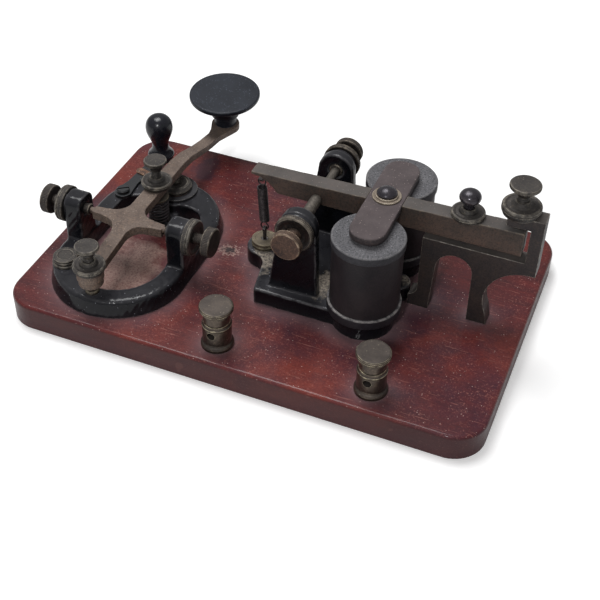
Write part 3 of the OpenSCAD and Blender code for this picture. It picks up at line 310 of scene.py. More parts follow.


# Each edge colour below paints the worn rims, and on most finishes also a painted highlight along them
metals = {
    "darkBrass": {
        "base": tint(98, 90, 76), "dark": tint(64, 58, 52), "worn": tint(140, 122, 92),
        "grimeAndShade": tint(30, 27, 25), "edge": tint(196, 186, 158), "metallic": 0.6, "rough": 0.4,
        "dust": {"colour": tint(116, 108, 98), "film": 0.45, "corners": 0.2, "grains": 0.1},
    },
    "greyBrass": {
        "base": tint(66, 63, 60), "dark": tint(43, 42, 43), "worn": tint(104, 94, 80),
        "grimeAndShade": tint(22, 21, 22), "edge": tint(172, 164, 150), "metallic": 0.55, "rough": 0.42,
        "wearAndHighlightShare": 0.6,
        "dust": {"colour": tint(88, 83, 80), "film": 0.55, "corners": 0.2, "grains": 0.25, "grain": 1000,
                 "grainColour": tint(134, 128, 116)},
    },
    "darkHead": {
        "base": tint(58, 52, 50), "dark": tint(36, 33, 33), "worn": tint(92, 78, 68),
        "grimeAndShade": tint(20, 18, 18), "edge": tint(176, 164, 146), "metallic": 0.55, "rough": 0.4,
        "wearAndHighlightShare": 0.6,
        "dust": {"colour": tint(84, 78, 74), "film": 0.45, "corners": 0.2, "grains": 0.2, "grain": 1000,
                 "grainColour": tint(126, 118, 108)},
    },
    "postBrass": {
        "base": tint(94, 84, 75), "dark": tint(60, 54, 50), "worn": tint(138, 124, 104),
        "grimeAndShade": tint(26, 23, 20), "edge": tint(220, 208, 176), "metallic": 0.85, "rough": 0.3,
        "speckle": 0.2, "spotShare": 0.25,
        "dust": {"colour": tint(88, 82, 79), "film": 0.85, "corners": 0.2, "grains": 0.15, "grain": 1000,
                 "grainColour": tint(140, 132, 118)},
    },
    "brownBrass": {
        "base": tint(92, 68, 55), "dark": tint(58, 44, 40), "worn": tint(126, 92, 70),
        "grimeAndShade": tint(28, 21, 20), "edge": tint(206, 184, 158), "metallic": 0.5, "rough": 0.4,
        "dust": {"colour": tint(100, 86, 78), "film": 0.35, "corners": 0.2, "grains": 0.2, "grain": 1000,
                 "grainColour": tint(140, 124, 108)},
    },
    "leverBronze": {
        "base": tint(112, 97, 86), "dark": tint(82, 69, 63), "worn": tint(140, 114, 92),
        "grimeAndShade": tint(52, 38, 30), "edge": tint(70, 54, 42), "metallic": 0.2, "rough": 0.58, "speckle": 0.6,
        "spotShare": 0.45, "spots": 500, "wearAndHighlightShare": 0.5,
        "dull": [((-66 * mm, -42 * mm, 28 * mm), (9 * mm, 9 * mm, 5 * mm))],
        "dust": {"colour": tint(136, 122, 114), "film": 0.45, "corners": 0.1, "grains": 0.4, "grain": 1000,
                 "grainColour": tint(168, 152, 136)},
    },
    "barBrass": {
        "base": tint(90, 74, 66), "dark": tint(60, 54, 50), "worn": tint(96, 72, 58),
        "grimeAndShade": tint(30, 26, 23), "edge": tint(140, 128, 110), "metallic": 0.3, "rough": 0.5, "cloud": 70,
        "wearAndHighlightShare": 0.45,
        "dust": {"colour": tint(106, 102, 100), "film": 0.85, "corners": 0.1, "grains": 0.3, "grain": 1000,
                 "grainColour": tint(136, 130, 124)},
    },
    "anvilBrass": {
        "base": tint(62, 54, 51), "dark": tint(42, 39, 41), "worn": tint(74, 60, 52),
        "grimeAndShade": tint(26, 23, 22), "edge": tint(190, 182, 170), "metallic": 0.3, "rough": 0.45, "cloud": 70,
        "wearAndHighlightShare": 0.9,
        "dust": {"colour": tint(112, 106, 102), "film": 0.6, "corners": 0.1, "grains": 0.2, "grain": 1000},
    },
    "steelDull": {
        "base": tint(92, 88, 88), "dark": tint(64, 60, 62), "worn": tint(134, 126, 120),
        "grimeAndShade": tint(32, 29, 28), "edge": tint(190, 180, 166), "metallic": 0.8, "rough": 0.36,
        "dust": {"colour": tint(118, 112, 112), "film": 0.3, "corners": 0.1, "grains": 0.08},
    },
    "screwDark": {
        "base": tint(56, 53, 60), "dark": tint(40, 38, 44), "worn": tint(86, 80, 84),
        "grimeAndShade": tint(26, 24, 28), "edge": tint(120, 112, 112), "metallic": 0.5, "rough": 0.2,
        "speckle": 0.2,
        "dust": {"colour": tint(96, 90, 92), "film": 0.15, "corners": 0.1, "grains": 0.05},
    },
    "dustyBrass": {
        "base": tint(96, 86, 73), "dark": tint(66, 60, 52), "worn": tint(134, 118, 90),
        "grimeAndShade": tint(34, 29, 24), "edge": tint(206, 194, 160), "metallic": 0.45, "rough": 0.45,
        "dust": {"colour": tint(128, 118, 102), "film": 0.75, "corners": 0.2, "grains": 0.3, "grain": 1000},
    },
    "paleBrass": {
        "base": tint(150, 138, 122), "dark": tint(112, 98, 84), "worn": tint(180, 164, 142),
        "grimeAndShade": tint(70, 54, 44), "edge": tint(210, 200, 180), "metallic": 0.3, "rough": 0.45,
        "dust": {"colour": tint(140, 130, 120), "film": 0.3, "corners": 0.1, "grains": 0.06},
    },
    "springWire": {
        "base": tint(60, 55, 58), "dark": tint(40, 37, 40), "worn": tint(104, 96, 94),
        "grimeAndShade": tint(26, 23, 24), "edge": tint(120, 112, 110), "metallic": 0.7, "rough": 0.42,
        "dust": {"colour": tint(110, 104, 104), "film": 0.2, "corners": 0.1, "grains": 0.05},
    },
    "brownIron": {
        "base": tint(64, 55, 56), "dark": tint(44, 38, 40), "worn": tint(88, 74, 70),
        "grimeAndShade": tint(26, 22, 23), "edge": tint(70, 62, 60), "metallic": 0.2, "rough": 0.5,
        "spotShare": 0.35, "wearAndHighlightShare": 0.3,
        "dust": {"colour": tint(104, 94, 95), "film": 0.75, "corners": 0.1, "grains": 0.4, "grain": 1000,
                 "grainColour": tint(146, 134, 130)},
    },
    "blackIron": {
        "base": tint(24, 26, 29), "dark": tint(17, 19, 22), "worn": tint(48, 50, 52),
        "grimeAndShade": tint(13, 13, 15), "edge": tint(96, 98, 98), "metallic": 0.2, "rough": 0.4, "wearAndHighlightShare": 0.4,
        "dust": {"colour": tint(76, 78, 82), "film": 0.16, "corners": 0.2, "grains": 0.2},
    },
    "dullScrew": {
        "base": tint(104, 98, 92), "dark": tint(70, 66, 62), "worn": tint(150, 142, 130),
        "grimeAndShade": tint(34, 30, 28), "edge": tint(190, 182, 168), "metallic": 0.6, "rough": 0.42,
        "dust": {"colour": tint(120, 114, 106), "film": 0.4, "corners": 0.1, "grains": 0.1},
    },
    "paleArbor": {
        "base": tint(150, 146, 136), "dark": tint(120, 116, 108), "worn": tint(176, 172, 160),
        "grimeAndShade": tint(84, 78, 70), "edge": tint(190, 184, 172), "metallic": 0.3, "rough": 0.5,
        "speckle": 0.25,
        "dust": {"colour": tint(150, 146, 138), "film": 0.4, "corners": 0.1, "grains": 0.1},
    },
    "copperStrip": {
        "base": tint(112, 76, 56), "dark": tint(60, 46, 40), "worn": tint(206, 150, 112),
        "grimeAndShade": tint(46, 32, 28), "edge": tint(226, 180, 140), "metallic": 0.5, "rough": 0.4,
        "dust": {"colour": tint(150, 132, 122), "film": 0.15, "corners": 0.1, "grains": 0.05},
    },
    "contactMetal": {
        "base": tint(164, 162, 156), "dark": tint(116, 112, 108), "worn": tint(200, 194, 186),
        "grimeAndShade": tint(60, 54, 50), "edge": tint(220, 216, 206), "metallic": 0.9, "rough": 0.3,
        "dust": {"colour": tint(150, 140, 132), "film": 0.1, "corners": 0.1, "grains": 0.04},
    },
}
usualMetal = {
    "cloud": 110, "spots": 420, "spotShare": 0.5, "speckle": 0.45, "wearAndHighlightShare": 0.75,
    "grimeAndShadeReach": 0.0025, "edgeReach": 0.00035, "dull": (), "bump": 0.35,
}


def wornAndHighlitEdges(s, reach):
    # Broken lines along rims and edges in each finish's edge colour: worn bare material, and also a painted
    # highlight along the rims
    broken = s.span(s.noise(420, 4, 0.65), 0.4, 0.6, 0.1, 1)
    return s.times(s.plus(s.edges(reach), s.span(s.standsOut(), 0.4, 1)), broken)


def metalFinish(name, own):
    c = {**usualMetal, **own}
    s = Surface(name, Metallic=c["metallic"], Specular_IOR_Level=0.5)
    cloud = s.noise(c["cloud"], 6, 0.62)
    colour = s.blend(s.span(cloud, 0.36, 0.66), c["dark"], c["base"])
    spots = s.span(s.noise(c["spots"], 4, 0.6), 0.58, 0.7, 0, c["spotShare"])
    colour = s.blend(spots, colour, c["worn"])
    speckle = s.noise(1300, 3, 0.65)
    colour = s.blend(s.span(speckle, 0.5, 0.64, 0, c["speckle"]), colour, c["grimeAndShade"])
    colour = s.blend(s.span(speckle, 0.46, 0.34, 0, c["speckle"]), colour, c["worn"])
    # Painted shade with some dirt: darker in corners and hollows
    colour = s.blend(s.times(s.sheltered(c["grimeAndShadeReach"]), 0.7), colour, c["grimeAndShade"])
    # Painted shade with some dirt: darker in the turned grooves
    colour = s.blend(s.span(s.standsOut(), -0.1, -0.8, 0, 0.8), colour, c["grimeAndShade"])
    for centre, radii in c["dull"]:
        colour = s.blend(s.times(s.spot(centre, radii, 0.3, 200), 0.6), colour, c["grimeAndShade"])
    wornAndHighlit = s.times(wornAndHighlitEdges(s, c["edgeReach"]), c["wearAndHighlightShare"])
    rough = s.span(cloud, 0.3, 0.7, c["rough"] + 0.14, c["rough"] - 0.06)
    colour, rough = dusted(s, colour, rough, c["dust"])
    colour = s.blend(wornAndHighlit, colour, c["edge"])
    rough = s.math("SUBTRACT", rough, s.times(wornAndHighlit, 0.15))
    height = s.math("ADD", s.noise(260, 4, 0.6), s.times(s.noise(1500, 2), 0.3))
    return s.finish(colour, rough, s.bump(height, 0.0002, c["bump"]))


# Each edge colour below is a worn rim and also a painted highlight along it
rubbers = {
    "knobRubber": {
        "base": tint(16, 19, 26), "worn": tint(30, 34, 43), "edge": tint(84, 90, 100), "rough": 0.3,
        "dust": {"colour": tint(50, 56, 68), "film": 0.25, "corners": 0.1, "grains": 0.5, "grain": 1200,
                 "grainColour": tint(104, 112, 128)},
    },
    "handleRubber": {
        "base": tint(16, 16, 24), "worn": tint(24, 25, 34), "edge": tint(84, 90, 100), "rough": 0.16,
        "specular": 0.4,
        "dust": {"colour": tint(60, 66, 78), "film": 0.05, "corners": 0.4, "grains": 0.1, "grain": 1000},
    },
    "coilHead": {
        "base": tint(40, 40, 44), "worn": tint(60, 60, 64), "pits": 0.7, "edge": tint(140, 138, 138),
        "rough": 0.5, "highlightOnUpperRim": True,
        "dust": {"colour": tint(120, 119, 122), "film": 0.85, "corners": 0.1, "grains": 0.9, "grain": 1000,
                 "grainColour": tint(150, 150, 156)},
    },
    # lowerHead's pale upper rim is a painted highlight
    "lowerHead": {
        "base": tint(28, 27, 31), "worn": tint(44, 43, 48), "edge": tint(206, 200, 196), "rough": 0.4,
        "wearAndHighlightShare": 0.9, "highlightOnUpperRim": True,
        "dust": {"colour": tint(100, 98, 102), "film": 0.3, "corners": 0.1, "grains": 0.2},
    },
    "coilCover": {
        "base": tint(32, 30, 33), "worn": tint(48, 42, 44), "edge": tint(80, 76, 76), "rough": 0.4,
        "specular": 0.2,
        "dust": {"colour": tint(92, 88, 90), "film": 0.4, "corners": 0.1, "grains": 0.15},
    },
    "insulation": {
        "base": tint(26, 26, 30), "worn": tint(44, 43, 46), "edge": tint(190, 186, 180), "rough": 0.4,
        "wearAndHighlightShare": 0.9,
        "dust": {"colour": tint(96, 95, 98), "film": 0.25, "corners": 0.2, "grains": 0.2},
    },
    "silkWire": {
        "base": tint(44, 62, 44), "worn": tint(70, 84, 60), "edge": tint(84, 96, 72), "rough": 0.8,
        "dust": {"colour": tint(110, 104, 96), "film": 0.3, "corners": 0.1, "grains": 0.1},
    },
}
usualRubber = {"specular": 0.3, "pits": 0.2, "wearAndHighlightShare": 0.6, "edgeReach": 0.0003, "highlightOnUpperRim": False}


def rubberFinish(name, own):
    c = {**usualRubber, **own}
    s = Surface(name, Specular_IOR_Level=c["specular"])
    cloud = s.noise(80, 5, 0.6)
    colour = s.blend(s.span(cloud, 0.4, 0.75), c["base"], c["worn"])
    fine = s.noise(1300, 3, 0.65)
    colour = s.blend(s.span(fine, 0.48, 0.66, 0, 0.5), colour, c["worn"])
    rough = s.span(cloud, 0.3, 0.7, c["rough"], c["rough"] + 0.15)
    colour, rough = dusted(s, colour, rough, c["dust"])
    colour = s.blend(s.span(fine, 0.5, 0.36, 0, c["pits"]), colour, c["base"])
    wornAndHighlit = wornAndHighlitEdges(s, c["edgeReach"])
    if c["highlightOnUpperRim"]:  # only the upper rim gets the painted highlight, where the light falls on it
        wornAndHighlit = s.times(wornAndHighlit, s.facingUp(0.25, 0.5))
    colour = s.blend(s.times(wornAndHighlit, c["wearAndHighlightShare"]), colour, c["edge"])
    return s.finish(colour, rough, s.bump(s.math("ADD", cloud, s.times(fine, 0.3)), 0.00012, 0.4))


finishes = {"mahogany": mahoganyFinish(mahogany), "japan": japanFinish(japan)}
for name, settings in metals.items():
    finishes[name] = metalFinish(name, settings)
for name, settings in rubbers.items():
    finishes[name] = rubberFinish(name, settings)

slotFinish = {
    "mahogany": "mahogany", "japan": "japan", "lever_bronze": "leverBronze", "sounder_brass": "barBrass",
    "dark_brass": "darkBrass", "blackened_brass": "blackIron", "steel": "steelDull",
    "soft_iron": "brownIron",
    "spring_wire": "springWire", "contact_metal": "contactMetal", "copper_strip": "copperStrip",
    "hard_rubber": "knobRubber", "insulation": "insulation", "coil_head": "coilHead",
    "coil_cover": "coilCover",
    "coil_wire": "silkWire",
}
ownFinish = {
    "anvil": "anvilBrass", "armature_washer": "paleBrass", "closer_pivot": "blackIron",
    "armature_screw": "screwDark", "down_stop_screw": "screwDark",
    "lower_head_near": "lowerHead", "lower_head_far": "lowerHead",
}  # nodes that don't look as their slot does


def finishOf(node):
    return ownFinish.get(node, slotFinish[nodeSlot[node]])


for node, obj in cadNodes.items():
    obj.data.materials.clear()
    obj.data.materials.append(finishes[finishOf(node)])
print("finishes made:", len(finishes))


def newPiece(name, mesh):
    obj = bpy.data.objects.new(name, mesh)
    bpy.context.scene.collection.objects.link(obj)
    return obj


def settle(obj, nodes, *names):
    # Gives a finished piece its materials, by default the finish of its node's slot, hides the nodes it
    # stands for, and ties it to the node's body unless it bends
    obj.data.materials.clear()
    for name in names or [finishOf(nodes[0])]:
        obj.data.materials.append(finishes[name])
    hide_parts(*nodes)
    if not obj.get("bends"):
        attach(obj, nodeBody[nodes[0]])
    return obj


def baked(obj):
    # The object as its modifiers make it, as a plain mesh
    bpy.context.view_layer.update()
    made = bpy.data.meshes.new_from_object(obj.evaluated_get(bpy.context.evaluated_depsgraph_get()))
    obj.modifiers.clear()
    obj.data = made
    return obj


eased = {
    "weld": 3e-6, "flatAngle": 0.6, "sharpAngle": 32, "segments": 2, "foldArea": 30 * mm ** 2,
    "foldAngle": 0.007,
}


def weldedNode(node):
    # A CAD node's loose triangles, joined at their points
    bm = bmesh.new()
    bm.from_mesh(cadNodes[node].data)
    bmesh.ops.remove_doubles(bm, verts=bm.verts, dist=eased["weld"])
    return bm


def easedEdges(node, width):
    # Copy of a CAD node with every sharp edge rounded, by less where there is little room
    bm = weldedNode(node)
    bmesh.ops.dissolve_degenerate(bm, dist=eased["weld"], edges=bm.edges)
    bmesh.ops.dissolve_limit(bm, angle_limit=math.radians(eased["flatAngle"]), verts=bm.verts,
                             edges=bm.edges)
    least = math.radians(eased["sharpAngle"])
    sharp = {e for e in bm.edges if len(e.link_faces) == 2 and e.calc_face_angle(0) > least}
    weights = []
    for e in bm.edges:
        room = width if e in sharp else 0
        for vert in e.verts if e in sharp else ():
            along = (e.other_vert(vert).co - vert.co).normalized()
            for other in vert.link_edges:
                away = other.other_vert(vert).co - vert.co
                across = along.cross(away.normalized()).length
                if other is not e and across > 0.35:
                    room = min(room, away.length * across * (0.42 if other in sharp else 0.8))
        weights.append(room / width)
    bm.verts.index_update()
    mesh = bpy.data.meshes.new(node + "Shape")
    ends = [tuple(sorted(v.index for v in e.verts)) for e in bm.edges]
    mesh.from_pydata([v.co for v in bm.verts], [(e.verts[0].index, e.verts[1].index) for e in bm.edges],
                     [[v.index for v in f.verts] for f in bm.faces])
    found = {tuple(sorted(e.vertices)): i for i, e in enumerate(mesh.edges)}
    store = mesh.attributes.new("bevel_weight_edge", "FLOAT", "EDGE")
    for pair, weight in zip(ends, weights):
        store.data[found[pair]].value = weight
    bm.free()
    for name in ("flat", "corner"):
        mesh.materials.append(bpy.data.materials.get(name) or bpy.data.materials.new(name))
    obj = newPiece(node + "Shape", mesh)
    bevel = obj.modifiers.new("rounded", "BEVEL")
    bevel.limit_method, bevel.width, bevel.segments = "WEIGHT", width, eased["segments"]
    bevel.use_clamp_overlap, bevel.material = False, 1
    mesh = baked(obj).data
    mesh.shade_smooth()
    mesh.set_sharp_from_angle(angle=math.radians(48))
    bm = bmesh.new()
    bm.from_mesh(mesh)
    standsOut = bm.verts.layers.float.new("standsOut")
    for vert in bm.verts:
        vert[standsOut] = float(all(f.material_index for f in vert.link_faces))
    for f in bm.faces:
        f.material_index = 0
    for e in bm.edges:  # a shallow fold between two large flats stays crisp
        wide = len(e.link_faces) == 2 and min(f.calc_area() for f in e.link_faces) > eased["foldArea"]
        if wide and e.calc_face_angle(0) > eased["foldAngle"]:
            e.smooth = False
    bm.to_mesh(mesh)
    bm.free()
    return flatShaded(obj)


def flatShaded(obj):
    # Large faces keep their own direction, and the turn lies in the rounded edges
    flat = obj.modifiers.new("flatFaces", "WEIGHTED_NORMAL")
    flat.keep_sharp = True
    return baked(obj)


def castShape(node, grid, passes, lump):
    # Copy of a CAD node with the full, soft corners of a casting
    bm = weldedNode(node)
    mesh = bpy.data.meshes.new(node + "Shape")
    bm.to_mesh(mesh)
    bm.free()
    obj = newPiece(node + "Shape", mesh)
    even = obj.modifiers.new("evenGrid", "REMESH")
    even.mode, even.voxel_size = "VOXEL", grid
    soft = obj.modifiers.new("softCorners", "SMOOTH")
    soft.factor, soft.iterations = 0.5, passes
    baked(obj)
    obj.data.shade_smooth()
    markCorners(obj.data, grid, lump)
    return obj


cornerMark = {"passes": 2, "gain": 9}  # how it is evened out, and what brings a full corner to 1


def markCorners(mesh, grid, lump):
    # Stores how far each point stands out from its neighbours, and lets the skin wander a little
    count = len(mesh.vertices)
    places, normals = np.empty(count * 3), np.empty(count * 3)
    mesh.vertices.foreach_get("co", places)
    mesh.vertices.foreach_get("normal", normals)
    places, normals = places.reshape(-1, 3), normals.reshape(-1, 3)
    ends = np.empty(len(mesh.edges) * 2, dtype=np.int64)
    mesh.edges.foreach_get("vertices", ends)
    a, b = ends.reshape(-1, 2).T
    near = np.bincount(a, minlength=count) + np.bincount(b, minlength=count)

    def average(values):
        return (np.bincount(a, values[b], count) + np.bincount(b, values[a], count)) / np.maximum(near, 1)

    middle = np.stack([average(places[:, k]) for k in range(3)], 1)
    out = np.sum((places - middle) * normals, 1) / grid
    for _ in range(cornerMark["passes"]):
        out = 0.5 * out + 0.5 * average(out)
    store = mesh.attributes.new("standsOut", "FLOAT", "POINT").data
    store.foreach_set("value", np.clip(out * cornerMark["gain"], -1, 1))
    x, y, z = places.T * 1000
    wave = np.sin(x * 0.9 + 1.7 * np.sin(y * 0.35)) * np.sin(y * 0.75 + z * 0.6)
    wave = wave + 0.5 * np.sin(x * 1.9 - z * 1.4 + y)
    places += normals * (wave * lump)[:, None]
    mesh.vertices.foreach_set("co", places.ravel())
    mesh.update()


castings = {
    "key_frame": {"grid": 0.42 * mm, "passes": 20, "lump": 0.05 * mm},
    "sounder_frame": {"grid": 0.42 * mm, "passes": 12, "lump": 0.04 * mm},
    "sounder_lever": {"grid": 0.34 * mm, "passes": 3, "lump": 0.01 * mm},
}
for node, settings in castings.items():
    settle(castShape(node, **settings), [node])
print("castings softened:", len(castings))

softEdges = {
    "key_lever": 0.35, "anvil": 0.3, "closer_blade": 0.2, "contact_strap": 0.15, "rest_anvil": 0.2,
    "armature_washer": 0.15,
}  # radii in mm
for node, width in softEdges.items():
    settle(easedEdges(node, width * mm), [node])
print("filed pieces:", len(softEdges))

armature = {"bow": 8.4, "power": 2.35, "steps": 28, "edge": 0.7}


def armaturePlate(s):
    # Flat soft-iron bar with full, bowed ends
    low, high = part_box("armature")
    middle, half, bow = (low + high) / 2, (high - low) / 2, s["bow"] * mm
    outline = []
    for end in (1, -1):
        for k in range(s["steps"] + 1):
            a = math.pi * k / s["steps"] + (0 if end > 0 else math.pi)
            x, y = (math.copysign(abs(v) ** (2 / s["power"]), v) for v in (math.cos(a), math.sin(a)))
            outline.append((middle.x + x * half.x, middle.y + (y * bow + end * (half.y - bow))))
    bm = bmesh.new()
    rings = [[bm.verts.new((x, y, z)) for x, y in outline] for z in (low.z, high.z)]
    count = len(outline)
    for k in range(count):
        after = (k + 1) % count
        bm.faces.new((rings[0][k], rings[0][after], rings[1][after], rings[1][k]))
    bm.faces.new(rings[1])
    bm.faces.new(reversed(rings[0]))
    mesh = bpy.data.meshes.new("armaturePlate")
    bm.to_mesh(mesh)
    bm.free()
    obj = newPiece("armaturePlate", mesh)
    bevel = obj.modifiers.new("rounded", "BEVEL")
    bevel.width, bevel.segments = s["edge"] * mm, 3
    bevel.limit_method, bevel.angle_limit = "ANGLE", math.radians(50)
    baked(obj)
    obj.data.shade_smooth()
    return flatShaded(obj)


settle(armaturePlate(armature), ["armature"])


class NodeGroup:
    # Geometry Nodes tree with named sizes going in and one painted mesh coming out
    def __init__(self, name, sizes):
        self.tree = bpy.data.node_groups.new(name, "GeometryNodeTree")
        face = self.tree.interface
        face.new_socket("Geometry", in_out="INPUT", socket_type="NodeSocketGeometry")
        for label, value in sizes.items():
            kind = "NodeSocketInt" if isinstance(value, int) else "NodeSocketFloat"
            face.new_socket(label, in_out="INPUT", socket_type=kind).default_value = value
        face.new_socket("Material", in_out="INPUT", socket_type="NodeSocketMaterial")
        face.new_socket("Geometry", in_out="OUTPUT", socket_type="NodeSocketGeometry")
        self.inputs = self.tree.nodes.new("NodeGroupInput").outputs
        self.end = self.tree.nodes.new("NodeGroupOutput").inputs[0]

    def add(self, kind, values=None, **props):
        n = self.tree.nodes.new(kind)
        for key, value in props.items():
            setattr(n, key, value)
        for socket, value in (values or {}).items():
            if isinstance(value, bpy.types.NodeSocket):
                self.tree.links.new(value, n.inputs[socket])
            else:
                n.inputs[socket].default_value = value
        return n

    def math(self, operation, a, b=0.0):
        return self.add("ShaderNodeMath", {0: a, 1: b}, operation=operation).outputs[0]

    def times(self, *values):
        result = values[0]
        for value in values[1:]:
            result = self.math("MULTIPLY", result, value)
        return result

    def within(self, value, low, high):
        return self.times(self.math("GREATER_THAN", value, low), self.math("LESS_THAN", value, high))

    def vector(self, **parts):
        return self.add("ShaderNodeCombineXYZ", parts).outputs[0]

    def circle(self, sides, radius):
        return self.add("GeometryNodeCurvePrimitiveCircle",
                        {"Resolution": sides, "Radius": radius}).outputs[0]

    def close(self, geometry):
        whole = self.add("GeometryNodeRealizeInstances", {"Geometry": geometry}).outputs[0]
        painted = self.add("GeometryNodeSetMaterial",
                           {"Geometry": whole, "Material": self.inputs["Material"]})
        self.tree.links.new(painted.outputs[0], self.end)
        return self.tree

    def run(self, obj, sizes, finish):
        modifier = obj.modifiers.new(self.tree.name, "NODES")
        modifier.node_group = self.tree
        sockets = {i.name: i.identifier for i in self.tree.interface.items_tree if i.in_out == "INPUT"}
        for label, value in sizes.items():
            modifier[sockets[label]] = value
        modifier[sockets["Material"]] = finishes[finish]
        return baked(obj)


def makeMilling():
    # Knurls the rim and cuts the thread of a turned piece that stands on the origin
    g = NodeGroup("millRimAndThread", {
        "Knurls": 60, "Knurl Depth": 0.0, "Knurl Low": 0.0, "Knurl High": 0.0, "Knurl Inside": 0.0,
        "Pitch": 0.001, "Thread Depth": 0.0, "Thread Low": 0.0, "Thread High": 0.0, "Thread Outside": 0.0})
    i = g.inputs
    x, y, z = g.add("ShaderNodeSeparateXYZ", {0: g.add("GeometryNodeInputPosition").outputs[0]}).outputs
    radius = g.math("SQRT", g.math("ADD", g.times(x, x), g.times(y, y)))
    angle = g.math("ARCTAN2", y, x)
    wave = g.math("COSINE", g.times(angle, i["Knurls"]))
    groove = g.times(g.math("ADD", wave, 1.0), 0.5)
    rim = g.times(g.within(z, i["Knurl Low"], i["Knurl High"]),
                  g.math("GREATER_THAN", radius, i["Knurl Inside"]))
    helix = g.math("FRACT", g.math("ADD", g.math("DIVIDE", z, i["Pitch"]), g.times(angle, 1 / math.tau)))
    ridge = g.math("ABSOLUTE", g.math("SUBTRACT", g.times(helix, 2.0), 1.0))
    shank = g.times(g.within(z, i["Thread Low"], i["Thread High"]),
                    g.within(radius, 0.6 * mm, i["Thread Outside"]))
    cut = g.math("ADD", g.times(rim, groove, i["Knurl Depth"]), g.times(shank, ridge, i["Thread Depth"]))
    inward = g.math("DIVIDE", g.times(cut, -1.0), g.math("MAXIMUM", radius, 0.01 * mm))
    shift = g.vector(X=g.times(x, inward), Y=g.times(y, inward))
    g.close(g.add("GeometryNodeSetPosition", {"Geometry": i["Geometry"], "Offset": shift}).outputs[0])
    return g


def makeWireDrawing():
    # Draws a round wire along a path of edges
    g = NodeGroup("drawWire", {"Wire Radius": 0.0005, "Sides": 12, "Bend Radius": 0.0})
    i = g.inputs
    path = g.add("GeometryNodeMeshToCurve", {"Mesh": i["Geometry"]}).outputs[0]
    ring = g.circle(i["Sides"], i["Wire Radius"])
    bent = g.add("GeometryNodeFilletCurve", {"Curve": path, "Radius": i["Bend Radius"], "Count": 8},
                 mode="POLY")
    wire = g.add("GeometryNodeCurveToMesh",
                 {"Curve": bent.outputs[0], "Profile Curve": ring, "Fill Caps": True}).outputs[0]
    g.close(wire)
    return g


def makeCoilTurns():
    # Lays the outer turns of a coil one above the other, on one round winding
    g = NodeGroup("layCoilTurns", {"Turns": 50, "Radius": 0.01, "Wire Radius": 0.0003, "Low": 0.0,
                                   "Pitch": 0.0006})
    i = g.inputs
    profile = {"Curve": g.circle(48, i["Radius"]), "Profile Curve": g.circle(6, i["Wire Radius"])}
    turn = g.add("GeometryNodeCurveToMesh", profile).outputs[0]
    rows = {"Count": i["Turns"], "Start Location": g.vector(Z=i["Low"]), "Offset": g.vector(Z=i["Pitch"])}
    line = g.add("GeometryNodeMeshLine", rows).outputs[0]
    turns = g.add("GeometryNodeInstanceOnPoints", {"Points": line, "Instance": turn}).outputs[0]
    whole = g.add("GeometryNodeJoinGeometry")
    g.tree.links.new(i["Geometry"], whole.inputs[0])
    g.tree.links.new(turns, whole.inputs[0])
    g.close(whole.outputs[0])
    return g


milling, wireDrawing, coilTurns = makeMilling(), makeWireDrawing(), makeCoilTurns()

lathe = {
    "cornerShare": 0.45, "leastCorner": 0.02, "leastAngle": 15,  # rounding of short sides, flat turns
    "longest": 0.7, "beside": 0.13,  # a longer face gets a row this close to each of its corners
    "leastTurn": 0.16, "fullTurn": 0.3, "leastRadius": 2.4,  # corners marked as rims or grooves
}  # lengths in mm


def rounded(profile, size, steps=2):
    # Rounds the corners of a turned profile, all sizes in mm
    result = [profile[0]]
    for before, here, after in zip(profile, profile[1:], profile[2:]):
        a, b, c = Vector(before), Vector(here), Vector(after)
        inA, outA = b - a, c - b
        room = min(size, inA.length * lathe["cornerShare"], outA.length * lathe["cornerShare"])
        if room < lathe["leastCorner"] or inA.angle(outA) < math.radians(lathe["leastAngle"]):
            result.append(here)
            continue
        p, q = b - inA.normalized() * room, b + outA.normalized() * room
        for k in range(steps + 1):
            t = k / steps
            result.append(tuple(p * (1 - t) ** 2 + b * 2 * t * (1 - t) + q * t ** 2))
    return result + [profile[-1]]


def turnedMesh(profile, segments, loop=False, smooth=35):
    # Lathe: (radius, height) in mm round the z axis, with close rows beside each corner
    line = [Vector(p) for p in profile]
    count = len(line)
    area = sum(a.x * b.y - b.x * a.y for a, b in zip(line, line[1:] + line[:1]))
    outward = 1 if area > 0 else -1  # which turn of the line is a rim
    rows, marks = [], []
    for k, here in enumerate(line):
        before, after = line[k - 1], line[(k + 1) % count]
        mark = 0
        if (loop or 0 < k < count - 1) and min((here - before).length, (after - here).length) > 1e-6:
            turn = (here - before).normalized().cross((after - here).normalized()) * outward
            if abs(turn) > lathe["leastTurn"] and here.x > lathe["leastRadius"]:
                mark = turn / lathe["fullTurn"]
        rows.append(here)
        marks.append(max(-1, min(1, mark)))
        reach = (after - here).length
        if reach > lathe["longest"] and (loop or k < count - 1):
            share = lathe["beside"] / reach
            rows += [here.lerp(after, share), here.lerp(after, 1 - share)]
            marks += [0, 0]
    bm = bmesh.new()
    layer = bm.verts.layers.float.new("standsOut")
    rings = []
    for r, z in rows:
        if r < 1e-4:
            rings.append([bm.verts.new((0, 0, z * mm))] * segments)
        else:
            turns = [math.tau * k / segments for k in range(segments)]
            rings.append([bm.verts.new((r * mm * math.cos(a), r * mm * math.sin(a), z * mm)) for a in turns])
    for ring, mark in zip(rings, marks):
        for vert in ring:
            vert[layer] = mark
    pairs = list(zip(rings, rings[1:])) + ([(rings[-1], rings[0])] if loop else [])
    for low, high in pairs:
        for k in range(segments):
            corners = [low[k], low[(k + 1) % segments], high[(k + 1) % segments], high[k]]
            kept = [v for n, v in enumerate(corners) if v not in corners[:n]]
            if len(kept) > 2:
                bm.faces.new(kept)
    bmesh.ops.recalc_face_normals(bm, faces=bm.faces)
    mesh = bpy.data.meshes.new("turned")
    bm.to_mesh(mesh)
    bm.free()
    mesh.shade_smooth()
    mesh.set_sharp_from_angle(angle=math.radians(smooth))
    return mesh


